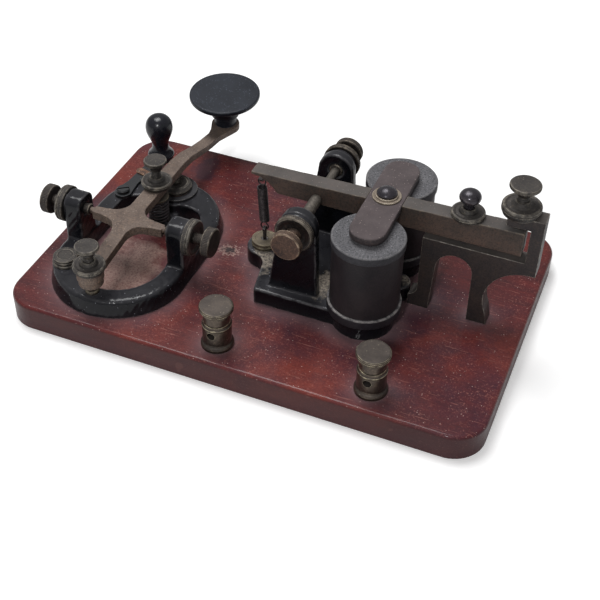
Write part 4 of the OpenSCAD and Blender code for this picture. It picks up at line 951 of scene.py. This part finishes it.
threadPitch = 0.8  # mm


def shankRows(r, low, high):
    # Six rows to a turn of the thread
    count = max(2, int((high - low) / threadPitch * 6))
    return [(r, low + (high - low) * k / count) for k in range(count + 1)]


def turned(name, shells, seats, nodes, finish=None):
    # Turned shells, milled, put on each seat and joined; a shell may have its own finish
    material = finish or finishOf(nodes[0])
    names = [material]
    bm = bmesh.new()
    for shell in shells:
        shape = {key: shell[key] for key in ("profile", "segments", "loop", "smooth") if key in shell}
        mesh = turnedMesh(**shape)
        local = milling.run(newPiece(name + "Blank", mesh), shell.get("mill", {}), material)
        for seat in seats:
            copy = local.data.copy()
            copy.transform(seat)
            own = shell.get("finish", material)
            if own not in names:
                names.append(own)
            copy.polygons.foreach_set("material_index", [names.index(own)] * len(copy.polygons))
            bm.from_mesh(copy)
        bpy.data.objects.remove(local)
    mesh = bpy.data.meshes.new(name)
    bm.to_mesh(mesh)
    bm.free()
    return settle(newPiece(name, mesh), nodes, *names)


directions = {"+X": (1, 0, 0), "-X": (-1, 0, 0), "+Y": (0, 1, 0), "-Y": (0, -1, 0), "+Z": (0, 0, 1)}


def seatOn(node, way, start=None):
    # Stands a piece's z axis along a CAD node's axis, from its inner end, or from start in metres
    low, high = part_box(node)
    axis = "XYZ".index(way[1])
    place = (low + high) / 2
    place[axis] = (low[axis] if way[0] == "+" else high[axis]) if start is None else start
    return Matrix.Translation(place) @ Vector(directions[way]).to_track_quat("Z", "Y").to_matrix().to_4x4()


def lengthOf(node, axis):
    low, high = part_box(node)
    return (high[axis] - low[axis]) / mm


def knurling(count, depth, low, high, inside):
    # Milling of a rim between two heights, outside a radius, all in mm
    return {"Knurls": count, "Knurl Depth": depth * mm, "Knurl Low": low * mm, "Knurl High": high * mm,
            "Knurl Inside": inside * mm}


def threading(depth, low, high, outside):
    return {"Pitch": threadPitch * mm, "Thread Depth": depth * mm, "Thread Low": low * mm,
            "Thread High": high * mm, "Thread Outside": outside * mm}


def ringShell(profile, corner, segments, **more):
    # Ring with a closed profile and rounded corners
    line = rounded(profile + [profile[0]], corner)[:-1]
    return {"profile": line, "loop": True, "segments": segments, **more}


def plugShell(radius, low, top=0.2):
    # Part of a screw that is out of sight below its head
    line = [(0, low), (radius, low)] + shankRows(radius, low + 0.1, top) + [(0, top)]
    return {"profile": line, "segments": 32}


def headedScrew(length, head, headR, shankR, cupR=0, cup=0, taper=False):
    # Knurled flat head, straight or tapered below its rim, on a threaded shank, flat or cupped at its end
    base = length - head
    top, neck, neckR, r = length, base - 1.0, shankR - 0.15, headR
    start = [(0, cup), (cupR, cup), (cupR, 0), (shankR - 0.4, 0)] if cupR else [(0, 0), (shankR - 0.5, 0)]
    end = [(neckR, neck + 0.05), (neckR, base + 0.4), (0, base + 0.4)]
    flat = [(0, base), (r - 0.5, base), (r, base + 0.35), (r, top - 0.45), (r - 0.42, top), (r - 1.0, top),
            (r - 1.25, top), (0, top)]
    if taper:
        flat = [(0, base - 1.4), (shankR + 0.2, base - 1.4), (shankR + 0.8, base - 0.3),
                (r * 0.62, base + 0.8), (r - 0.5, base + 2.1), (r, base + 2.5), (r, top - 0.5),
                (r - 0.35, top - 0.08), (r - 1.1, top), (0, top - 0.1)]
    thread = threading(0.3, 0.7, neck, shankR + 0.1)
    rim = knurling(60, 0.26, base + 0.45, top - 0.5, r - (1.2 if taper else 0.15))
    return [
        {"profile": start + shankRows(shankR, 0.5, neck) + end, "segments": 48, "smooth": 60, "mill": thread,
         "finish": "dullScrew"},
        {"profile": rounded(flat, 0.16), "segments": 240, "mill": rim},
    ]


def lockNut(radius, height, bore, knurls=66, step=0.55):
    # Ring nut: knurled rim, a turned groove under the front bevel, dished face
    r, h, mid = radius, height, height * 0.55
    profile = [(bore, 0.1), (bore + 0.1, 0), (r - 0.4, 0), (r, 0.35), (r, mid), (r - 0.3, mid + 0.12),
               (r - 0.3, mid + 0.4), (r - 0.05, mid + 0.5), (r - 0.05, h - 0.55), (r - step, h),
               (r * 0.82, h), (r * 0.62, h - 0.6), (bore + 0.1, h - 0.6), (bore, h - 0.7)]
    return [ringShell(profile, 0.14, knurls * 4, mill=knurling(knurls, 0.2, 0.4, mid - 0.02, r - 0.15))]


trunnions = {
    "key": {
        "screw": {"head": 4.0, "headR": 6.45, "shankR": 2.5, "cupR": 1.35, "cup": 1.8},
        "sides": (("left", "-X", "darkHead"), ("right", "+X", "darkHead")),
        "nut": {"radius": 8.0, "height": 3.7, "bore": 2.55}, "nutFinish": "greyBrass",
    },
    "sounder": {
        "screw": {"head": 3.3, "headR": 6.35, "shankR": 3.0, "cupR": 1.9, "cup": 1.6},
        "sides": (("near", "-Y", "brownBrass"), ("far", "+Y", "darkHead")),
        "nut": {"radius": 8.2, "height": 2.7, "bore": 3.05, "step": 0.7}, "nutFinish": "darkHead",
    },
}


def trunnionSet(name, s):
    # Two cupped screws that face each other, each with its ring nut
    axis = "XYZ".index(s["sides"][0][1][1])
    for side, way, finish in s["sides"]:
        node = name + "_trunnion_screw_" + side
        shells = headedScrew(lengthOf(node, axis), **s["screw"])
        turned(name + "Trunnion" + side.title(), shells, [seatOn(node, way)], [node], finish)
    node = name + "_locknuts"
    low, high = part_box(node)
    inner = s["nut"]["height"] * mm
    seats = [seatOn(node, "+" + "XYZ"[axis], high[axis] - inner),
             seatOn(node, "-" + "XYZ"[axis], low[axis] + inner)]
    turned(name + "LockNuts", lockNut(**s["nut"]), seats, [node], s["nutFinish"])


for name, settings in trunnions.items():
    trunnionSet(name, settings)

uprightScrews = {
    "tension_screw": {"head": 4, "headR": 5.1, "shankR": 2.25},
    "gap_screw": {"head": 4, "headR": 5.1, "shankR": 2.25},
    "up_stop_screw": {"head": 4, "headR": 6.2, "shankR": 2.25},
}
for node, settings in uprightScrews.items():
    shells = headedScrew(lengthOf(node, 2), taper=True, **settings)
    turned(node.replace("_s", "S"), shells, [seatOn(node, "+Z")], [node], "greyBrass")


def coneNut(radius, height, bore, knurls=56):
    # Lock nut with a thin rim over a smaller foot, and a top that rises to the screw
    r, h = radius, height
    profile = [(bore + 0.1, 0), (r - 0.9, 0), (r - 0.6, 0.2), (r - 0.55, h * 0.26), (r - 0.1, h * 0.36),
               (r, h * 0.42), (r, h * 0.6), (r - 0.28, h * 0.64), (r - 0.28, h * 0.7), (r - 0.03, h * 0.74),
               (r - 0.12, h * 0.88), (r - 0.6, h - 0.05), (r * 0.84, h - 0.12), (r * 0.74, h - 0.42),
               (r * 0.56, h - 0.1), (bore + 1.3, h + 0.7), (bore + 0.6, h + 1.6), (bore, h + 1.7)]
    return [ringShell(profile, 0.12, knurls * 4, mill=knurling(knurls, 0.16, h * 0.38, h * 0.62, r - 0.2))]


uprightNuts = {"tension_locknut": 6.9, "gap_locknut": 6.9, "up_stop_locknut": 7.9, "down_stop_locknut": 6.9}
uprightBore = 2.3
for node, radius in uprightNuts.items():
    shells = coneNut(radius, lengthOf(node, 2), uprightBore)
    turned(node.replace("_l", "L"), shells, [seatOn(node, "+Z")], [node], "greyBrass")
print("screws and lock nuts turned")

downStop = {"ball": 4.4, "flat": 0.72, "ballHeight": 21.7, "shankR": 2.25}


def ballScrew(s):
    # Flattened ball on a threaded shank
    r, z = s["ball"], s["ballHeight"]
    turns = [math.radians(a) for a in range(-46, 90, 8)]
    ball = [(r * math.cos(a), z + r * s["flat"] * math.sin(a)) for a in turns] + [(0, z + r * s["flat"])]
    shank = [(0, 0), (s["shankR"] - 0.6, 0)] + shankRows(s["shankR"], 0.6, 17.2)
    neck = [(2.3, 17.4), (2.35, 18.2), (2.6, 18.9)]
    thread = threading(0.28, 0.8, 17, 2.3)
    return [{"profile": shank + neck + ball, "segments": 64, "smooth": 60, "mill": thread}]


turned("downStopScrew", ballScrew(downStop), [seatOn("down_stop_screw", "+Z")], ["down_stop_screw"])


def curved(points, steps=5):
    # Smooth line through the points of a profile
    result = []
    for k in range(len(points) - 1):
        p0, p1, p2, p3 = (Vector(points[min(max(k + d, 0), len(points) - 1)]) for d in (-1, 0, 1, 2))
        for n in range(steps):
            t = n / steps
            result.append(tuple(0.5 * (2 * p1 + (p2 - p0) * t + (2 * p0 - 5 * p1 + 4 * p2 - p3) * t * t
                                       + (3 * p1 - p0 - 3 * p2 + p3) * t ** 3)))
    return result + [points[-1]]


knob = {
    "radius": 17.1, "height": 17.0, "lean": 3.5, "leanHeight": 9,
    "neck": [(5.4, 0.3), (5.45, 2.4), (5.8, 4.0), (6.5, 4.7), (6.75, 5.2), (6.8, 7.2), (7.6, 9.6),
             (9.4, 11.7), (12.4, 13.2), (15.2, 14.0), (16.5, 14.5), (17.0, 15.1)],
}


def knobShell(s):
    r, h = s["radius"], s["height"]
    rim = [(r, h - 1.4), (r, h - 0.7), (r - 0.15, h - 0.3), (r - 0.6, h - 0.05), (r - 1.4, h - 0.01)]
    line = [(0, 0), (5.3, 0)] + curved(s["neck"] + rim, 4) + [(r * 0.5, h), (0, h)]
    return [{"profile": line, "segments": 128, "smooth": 50}]


keyKnob = turned("keyKnob", knobShell(knob), [seatOn("key_knob", "+Z")], ["key_knob"])
low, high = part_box("key_knob")
for vert in keyKnob.data.vertices:  # its disc leans a little, as the screw pulls it
    share = min(1, max(0, (vert.co.z - low.z) / (knob["leanHeight"] * mm)))
    vert.co.z += (vert.co.y - (low.y + high.y) / 2) * math.tan(math.radians(knob["lean"])) * share

handle = {
    "stem": [(6.0, 0.1), (6.3, 0.8), (6.1, 1.8), (5.1, 3.0), (4.3, 4.4), (3.95, 6.0), (4.0, 7.8), (4.6, 9.8),
             (5.5, 12.0), (6.2, 14.2), (6.4, 16.0), (6.25, 17.7), (5.7, 19.4), (4.5, 21.0), (2.9, 22.0),
             (1.4, 22.4)],
    "top": 22.5, "pin": 1.4, "blade": 1.6,
}


def handleShells(s):
    body = [(0, 0.02), (5.8, 0.02)] + curved(s["stem"]) + [(0, s["top"])]
    rivet = [(0, -2.8), (2.2, -2.8), (2.4, -2.6), (2.4, -1.6), (s["pin"], -1.6), (s["pin"], 1), (0, 1)]
    return [{"profile": body, "segments": 64, "smooth": 60}, {"profile": rivet, "segments": 32}]


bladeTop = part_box("closer_blade")[0].z + handle["blade"] * mm
turned("closerHandle", handleShells(handle), [seatOn("closer_handle", "+Z", bladeTop)], ["closer_handle"],
       "handleRubber")
print("knob and handle turned")

post = {
    "line": [(6.5, 0), (6.85, 0.3), (6.85, 1.5), (6.5, 2.3), (6.0, 2.9), (5.85, 3.6), (5.95, 4.4),
             (6.0, 10.4), (5.9, 11.0), (6.15, 11.2), (6.15, 11.7), (5.8, 12.0), (5.6, 12.7), (5.6, 13.2)],
    "bore": 2.1, "boreLow": 5, "hole": 1.75, "holeHeight": 8.6,
}
thumb = {"low": 13.24, "radius": 5.5, "cap": 7.0, "shank": 1.9, "shankLow": -3}


def postShell(s):
    bore = [(s["bore"], s["line"][-1][1]), (s["bore"], s["boreLow"]), (0, s["boreLow"])]
    return [{"profile": rounded([(0, 0)] + s["line"] + bore, 0.18), "segments": 96}]


def thumbShells(s):
    r, c = s["radius"], s["cap"]
    side = [(0, 0), (r - 0.25, 0), (r, 0.4), (r + 0.1, 3.8), (r - 0.1, 4.4), (r - 0.25, 5.0), (r + 0.1, 5.5),
            (c - 0.4, 5.7), (c, 6.0), (c, 7.1), (c - 0.4, 7.6), (c - 0.9, 7.74), (0, 7.76)]
    cap = {"profile": rounded(side, 0.16), "segments": 240, "mill": knurling(60, 0.22, 6.02, 7.08, c - 0.12)}
    return [cap, plugShell(s["shank"], s["shankLow"])]


def bored(obj, place, radius):
    # Cross hole for the wire
    bpy.ops.mesh.primitive_cylinder_add(vertices=48, radius=radius, depth=40 * mm, location=place,
                                        rotation=(math.pi / 2, 0, 0))
    cutter = bpy.context.object
    cut = obj.modifiers.new("wireHole", "BOOLEAN")
    cut.operation, cut.object, cut.solver = "DIFFERENCE", cutter, "EXACT"
    baked(obj)
    bpy.data.objects.remove(cutter)
    obj.data.shade_smooth()
    obj.data.set_sharp_from_angle(angle=math.radians(40))
    return obj


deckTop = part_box("base_board")[1].z
for side in ("left", "right"):
    node = "post_" + side
    seat = seatOn(node, "+Z", deckTop)
    body = turned("bindingPost" + side.title(), postShell(post), [seat], [node], "postBrass")
    low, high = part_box(node)
    middle = (low + high) / 2
    bored(body, (middle.x, middle.y, deckTop + post["holeHeight"] * mm), post["hole"] * mm)
    node = "thumb_screw_" + side
    seat = seatOn(node, "+Z", deckTop + thumb["low"] * mm)
    turned("thumbScrew" + side.title(), thumbShells(thumb), [seat], [node], "postBrass")
print("binding posts made")

contactNut = {"radius": 7.5, "height": 2.6, "bore": 2.0}


def contactNutShell(s):
    r, h = s["radius"], s["height"]
    profile = [(s["bore"], 0), (r, 0), (r, 1.1), (r - 0.25, 1.25), (r - 0.25, 1.4), (r - 0.1, 1.5),
               (r - 1.2, h), (5.3, h), (4.1, 1.9), (s["bore"], 1.9)]
    paintedHighlightRim = [(4.3, 1.7), (5.2, 1.7), (5.6, h), (5.25, h + 0.05)]  # rim of the cup in its face, made pale as a painted highlight
    cup = {"profile": paintedHighlightRim, "loop": True, "segments": 96, "finish": "paleBrass"}
    return [ringShell(profile, 0.12, 96), cup]


turned("contactNut", contactNutShell(contactNut), [seatOn("contact_nut", "+Z")], ["contact_nut"],
       "greyBrass")

terminalScrew = {"washer": 5.75, "washerHeight": 1.4, "head": 5.3, "height": 4.0, "shank": 2.0,
                 "shankLow": -7.4}


def terminalShells(s):
    w, h, r, top = s["washer"], s["washerHeight"], s["head"], s["height"]
    washer = [(0, 0), (w - 0.2, 0), (w, 0.2), (w, h - 0.3), (w - 0.3, h), (0, h)]
    head = [(0, h), (r - 0.1, h), (r, h + 0.3), (r, top - 1.5), (r - 0.3, top - 1.3), (r - 0.3, top - 1.0),
            (r - 0.05, top - 0.8), (r - 0.15, top - 0.3), (r - 0.9, top), (3.4, top), (3.1, top - 0.3),
            (0, top - 0.3)]
    shells = [{"profile": rounded(line, 0.15), "segments": 96} for line in (washer, head)]
    return shells + [plugShell(s["shank"], s["shankLow"])]


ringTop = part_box("insulating_washer")[0].z
seat = seatOn("frame_terminal_screw", "+Z", ringTop)
turned("frameTerminalScrew", terminalShells(terminalScrew), [seat], ["frame_terminal_screw"], "greyBrass")

tensionNut = {"radius": 5.75, "height": 3.4, "bore": 1.65, "sleeve": 3.0, "knurls": 44}


def tensionNutShell(s):
    r, h, bore, sleeve = s["radius"], s["height"], s["bore"], s["sleeve"]
    profile = [(bore, -7), (sleeve, -7), (sleeve, 0), (r - 0.3, 0), (r, 0.3), (r, 1.5), (r - 0.25, 1.65),
               (r - 0.25, 1.9), (r, 2.05), (r, h - 0.35), (r - 0.45, h), (r - 1.3, h), (r - 1.6, h - 0.2),
               (bore, h - 0.2)]
    rim = knurling(s["knurls"], 0.18, 2.1, h - 0.4, r - 0.1)
    return [ringShell(profile, 0.14, s["knurls"] * 4, mill=rim)]


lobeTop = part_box("lower_head_near")[0].z
turned("tensionNut", tensionNutShell(tensionNut), [seatOn("tension_nut", "+Z", lobeTop)], ["tension_nut"],
       "dustyBrass")

dome = {"ball": 5.2, "rise": 2.9, "head": 4.2, "shank": 1.8, "shankLow": -9.6}


def domeShell(s):
    # Cap of a ball on a hidden shank
    low = s["rise"] - s["ball"]
    start = math.acos(s["head"] / s["ball"])
    turns = [start + (math.pi / 2 - start) * k / 10 for k in range(10)]
    cap = [(s["ball"] * math.cos(a), low + s["ball"] * math.sin(a)) for a in turns]
    return [{"profile": [(0, 0), (s["head"], 0)] + cap + [(0, s["rise"])], "segments": 64, "smooth": 60},
            plugShell(s["shank"], s["shankLow"], 0.3)]


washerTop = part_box("armature_washer")[1].z
turned("armatureScrew", domeShell(dome), [seatOn("armature_screw", "+Z", washerTop)], ["armature_screw"])

arbor = {"thin": 1.85, "thick": 2.5, "sleeveLow": 2.1}


def arborShells(s, length, barFace):
    # Its near half has a fat pale sleeve, from just behind the screw to the bar
    low, inner = s["sleeveLow"], s["thin"] - 0.3
    sleeve = [(inner, low), (s["thick"], low), (s["thick"], barFace), (inner, barFace)]
    return [{"profile": [(0, 0), (s["thin"], 0), (s["thin"], length), (0, length)], "segments": 48},
            ringShell(sleeve, 0.2, 64, finish="paleArbor")]


low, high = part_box("lever_arbor")
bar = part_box("sounder_lever")[0].y
shells = arborShells(arbor, (high.y - low.y) / mm, (bar - low.y) / mm)
turned("leverArbor", shells, [seatOn("lever_arbor", "+Y")], ["lever_arbor"], "dullScrew")

coils = {"wire": 0.42, "headBore": 4.76, "windingBore": 4.8, "paper": 0.75}


def sizeOf(node):
    # Radius and height in mm
    return lengthOf(node, 0) / 2, lengthOf(node, 2)


def coilPieces(s, side):
    bore = s["headBore"]
    for name in ("lowerHead", "upperHead"):
        node = name.replace("Head", "_head_") + side
        r, h = sizeOf(node)
        profile = [(bore, 0), (r - 0.5, 0), (r, 0.4), (r, h - 0.55), (r - 0.35, h - 0.12), (r - 0.9, h),
                   (bore, h)]
        turned(name + side.title(), [ringShell(profile, 0.18, 128)], [seatOn(node, "+Z")], [node])
    node = "cover_" + side
    r, h = sizeOf(node)
    inner = r - s["paper"]
    profile = [(r - 0.02, 0), (r - 0.02, h * 0.3), (r, h * 0.6), (r - 0.04, h), (inner, h), (inner, 0)]
    shells = [{"profile": profile, "loop": True, "segments": 128}]
    turned("coilCover" + side.title(), shells, [seatOn(node, "+Z")], [node])
    node, wire, bore = "winding_" + side, s["wire"], s["windingBore"]
    r, h = sizeOf(node)
    r = r - 2 * wire
    solid = turnedMesh([(bore, 0.05), (r, 0.05), (r, h - 0.05), (bore, h - 0.05)], 48, True)
    core = newPiece("winding" + side.title(), solid)
    sizes = {"Turns": int(h / (2 * wire)) - 1, "Radius": (r + wire * 0.9) * mm, "Wire Radius": wire * mm,
             "Low": wire * 1.2 * mm, "Pitch": 2 * wire * mm}
    coilTurns.run(core, sizes, "silkWire")
    core.data.transform(seatOn(node, "+Z"))
    settle(core, [node])


for side in ("near", "far"):
    coilPieces(coils, side)
print("coils wound")


def wirePath(name, runs, radius, sides, finish, bend=0.0):
    # Round wires, each through its own points in mm
    mesh = bpy.data.meshes.new(name)
    points, edges = [], []
    for run in runs:
        edges += [(len(points) + k, len(points) + k + 1) for k in range(len(run) - 1)]
        points += [[v * mm for v in p] for p in run]
    mesh.from_pydata(points, edges, [])
    sizes = {"Wire Radius": radius * mm, "Sides": sides, "Bend Radius": bend * mm}
    obj = wireDrawing.run(newPiece(name, mesh), sizes, finish)
    obj.data.shade_smooth()
    return obj


def bends(obj):
    obj["bends"] = True
    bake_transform(obj)
    return obj


keySpring = {"wire": 0.9, "turns": 7, "radius": 4.25, "steps": 28, "sides": 12}


def keySpringPath(s):
    low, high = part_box("key_spring")
    x, y = (low.x + high.x) / 2 / mm, (low.y + high.y) / 2 / mm
    bottom, top = low.z / mm + s["wire"] / 2, high.z / mm - s["wire"] / 2
    count, r = s["turns"] * s["steps"], s["radius"]
    points = []
    for k in range(count + 1):
        a = math.tau * k / s["steps"]
        points.append((x + r * math.cos(a), y + r * math.sin(a), bottom + (top - bottom) * k / count))
    return points, Vector((x, y, bottom)) * mm, Vector((x, y, top)) * mm


points, start, end = keySpringPath(keySpring)
spring = wirePath("keySpring", [points], keySpring["wire"] / 2, keySpring["sides"], "springWire")
bends(spring)
settle(spring, ["key_spring"], "springWire")

pullSpring = {
    "wire": 0.6, "sides": 10, "coil": 1.9, "steps": 20, "trim": 7, "lay": 1.03,
    "loop": 1.75, "loopSteps": 21, "loopTurn": 300, "loopSkew": 0.35, "stem": 0.9,
    "eye": (-13.9, 1.6, 55), "rod": (-12.7, 1.6),
}


def loopPoints(s, place, first, up, skew):
    # Open ring that hangs from place, or stands on it where up is -1
    points = []
    for k in range(s["loopSteps"] + 1):
        a = math.radians(first + k * s["loopTurn"] / s["loopSteps"])
        points.append((place.x + s["loop"] * math.sin(a), place.y + skew(k / s["loopSteps"]),
                       place.z - up * s["loop"] + up * s["loop"] * math.cos(a)))
    return points


def pullSpringPath(s):
    # Loop through the lever's eye, closely wound body, loop that holds the rod's eye
    low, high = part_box("sounder_spring")
    top, bottom = Vector(s["eye"]), Vector((*s["rod"], low.z / mm + s["wire"] / 2))
    hook = 2 * s["loop"] + s["stem"]
    height = top.z - bottom.z - 2 * hook
    count = int(height / (s["wire"] * s["lay"])) * s["steps"]
    points = loopPoints(s, top, -160, 1, lambda t: s["loopSkew"] * (1 - t) - 0.1)
    for k in range(s["trim"], count - s["trim"] + 1):
        t = k / count
        a = math.pi - math.tau * k / s["steps"]
        near = min(1, k / s["steps"] * 2, (count - k) / s["steps"] * 2)  # the end turns fold in to the loops
        points.append((top.x + (bottom.x - top.x) * t + s["coil"] * math.sin(a),
                       top.y + s["coil"] * math.cos(a) * near, top.z - hook - height * t))
    points += loopPoints(s, bottom, -140, -1, lambda t: 0.1 - s["loopSkew"] * t)
    rise = Vector((0, 0, 2 * s["loop"]))
    return points, (bottom + rise) * mm, (top - rise) * mm


# The spring is drawn as a lower and an upper half, each marked as bending, which meet at its middle
points, start, end = pullSpringPath(pullSpring)
half = len(points) // 2
middle = Vector(points[half]) * mm
middle.x = (start.x + end.x) / 2
wire = {"radius": pullSpring["wire"] / 2, "sides": pullSpring["sides"], "finish": "springWire"}
upper = wirePath("sounderSpringUpper", [points[:half + 1]], **wire)
bends(upper)
lower = wirePath("sounderSpringLower", [points[half:]], **wire)
bends(lower)
for spring in (upper, lower):
    settle(spring, ["sounder_spring"], "springWire")
print("springs wound")

hookup = {"radius": 0.9, "sides": 16, "bend": 3.0, "runs": [
    [(-8.7, -51, 3.1), (-8.7, -48, 3.1), (-37, -48, 3.1)],
    [(-61, 21, 3.1), (-32, 21, 3.1), (-32, 40.4, 3.1), (35.9, 40.4, 3.1)],
    [(57.5, -18.3, 3.1), (57.5, -51, 3.1)]]}  # lie in the grooves under the board
settle(wirePath("hookupWires", finish="silkWire", **hookup), ["hookup_wires"], "silkWire")

studio = {
    "floorSize": 6, "floorShade": 0.92, "floorRough": 0.9,
    "glowNear": 0.25, "glowFar": 1.2, "glowLeast": 0.25, "glowMost": 1.0,
    "world": 0.24, "seen": 0.76, "inMetal": 0.16,
    "lamps": {
        "softTop": {"place": (-0.35, 0.25, 1.3), "size": 0.7, "power": 13.5},
        "softFront": {"place": (0.1, -1.0, 0.9), "size": 0.1, "power": 4.8},
    },
}
white = (1, 1, 1, 1)


def makeFloor(c):
    # Pale floor whose far part stays white where the lamps fade
    bpy.ops.mesh.primitive_plane_add(size=c["floorSize"], location=(0, 0, -0.0002))
    floor = bpy.context.object
    floor.name = "floor"
    s = Surface("paleFloor", Emission_Color=white)
    s.finish((c["floorShade"],) * 3 + (1,), c["floorRough"])
    away = s.vector("LENGTH", s.coords)["Value"]
    glow = s.span(away, c["glowNear"], c["glowFar"], c["glowLeast"], c["glowMost"])
    looked = s.node("ShaderNodeLightPath").outputs["Is Camera Ray"]
    s.put(s.shader.inputs["Emission Strength"], s.times(looked, glow))
    floor.data.materials.append(s.mat)
    floor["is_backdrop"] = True


def makeWorld(c):
    # Dim as it lights the piece, a little brighter seen in metal, and white where it is looked at
    world = bpy.data.worlds.new("studio")
    bpy.context.scene.world = world
    world.use_nodes = True
    tree = world.node_tree
    background = tree.nodes["Background"].inputs
    background["Color"].default_value = white
    path = tree.nodes.new("ShaderNodeLightPath")
    level = None
    for ray, more in (("Is Camera Ray", c["seen"]), ("Is Glossy Ray", c["inMetal"])):
        step = tree.nodes.new("ShaderNodeMath")
        step.operation = "MULTIPLY_ADD"
        tree.links.new(path.outputs[ray], step.inputs[0])
        step.inputs[1].default_value = more
        step.inputs[2].default_value = c["world"]
        if level:
            tree.links.new(level, step.inputs[2])
        level = step.outputs[0]
    tree.links.new(level, background["Strength"])


def makeLamps(lamps):
    for name, lamp in lamps.items():
        data = bpy.data.lights.new(name, "AREA")
        data.size, data.energy = lamp["size"], lamp["power"]
        light = bpy.data.objects.new(name, data)
        light.location = lamp["place"]
        light.rotation_euler = (-Vector(lamp["place"])).to_track_quat("-Z", "Y").to_euler()
        bpy.context.scene.collection.objects.link(light)


makeFloor(studio)
makeWorld(studio)
makeLamps(studio["lamps"])
bpy.context.scene.view_settings.view_transform = "Standard"
print("stage set")

low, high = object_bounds()
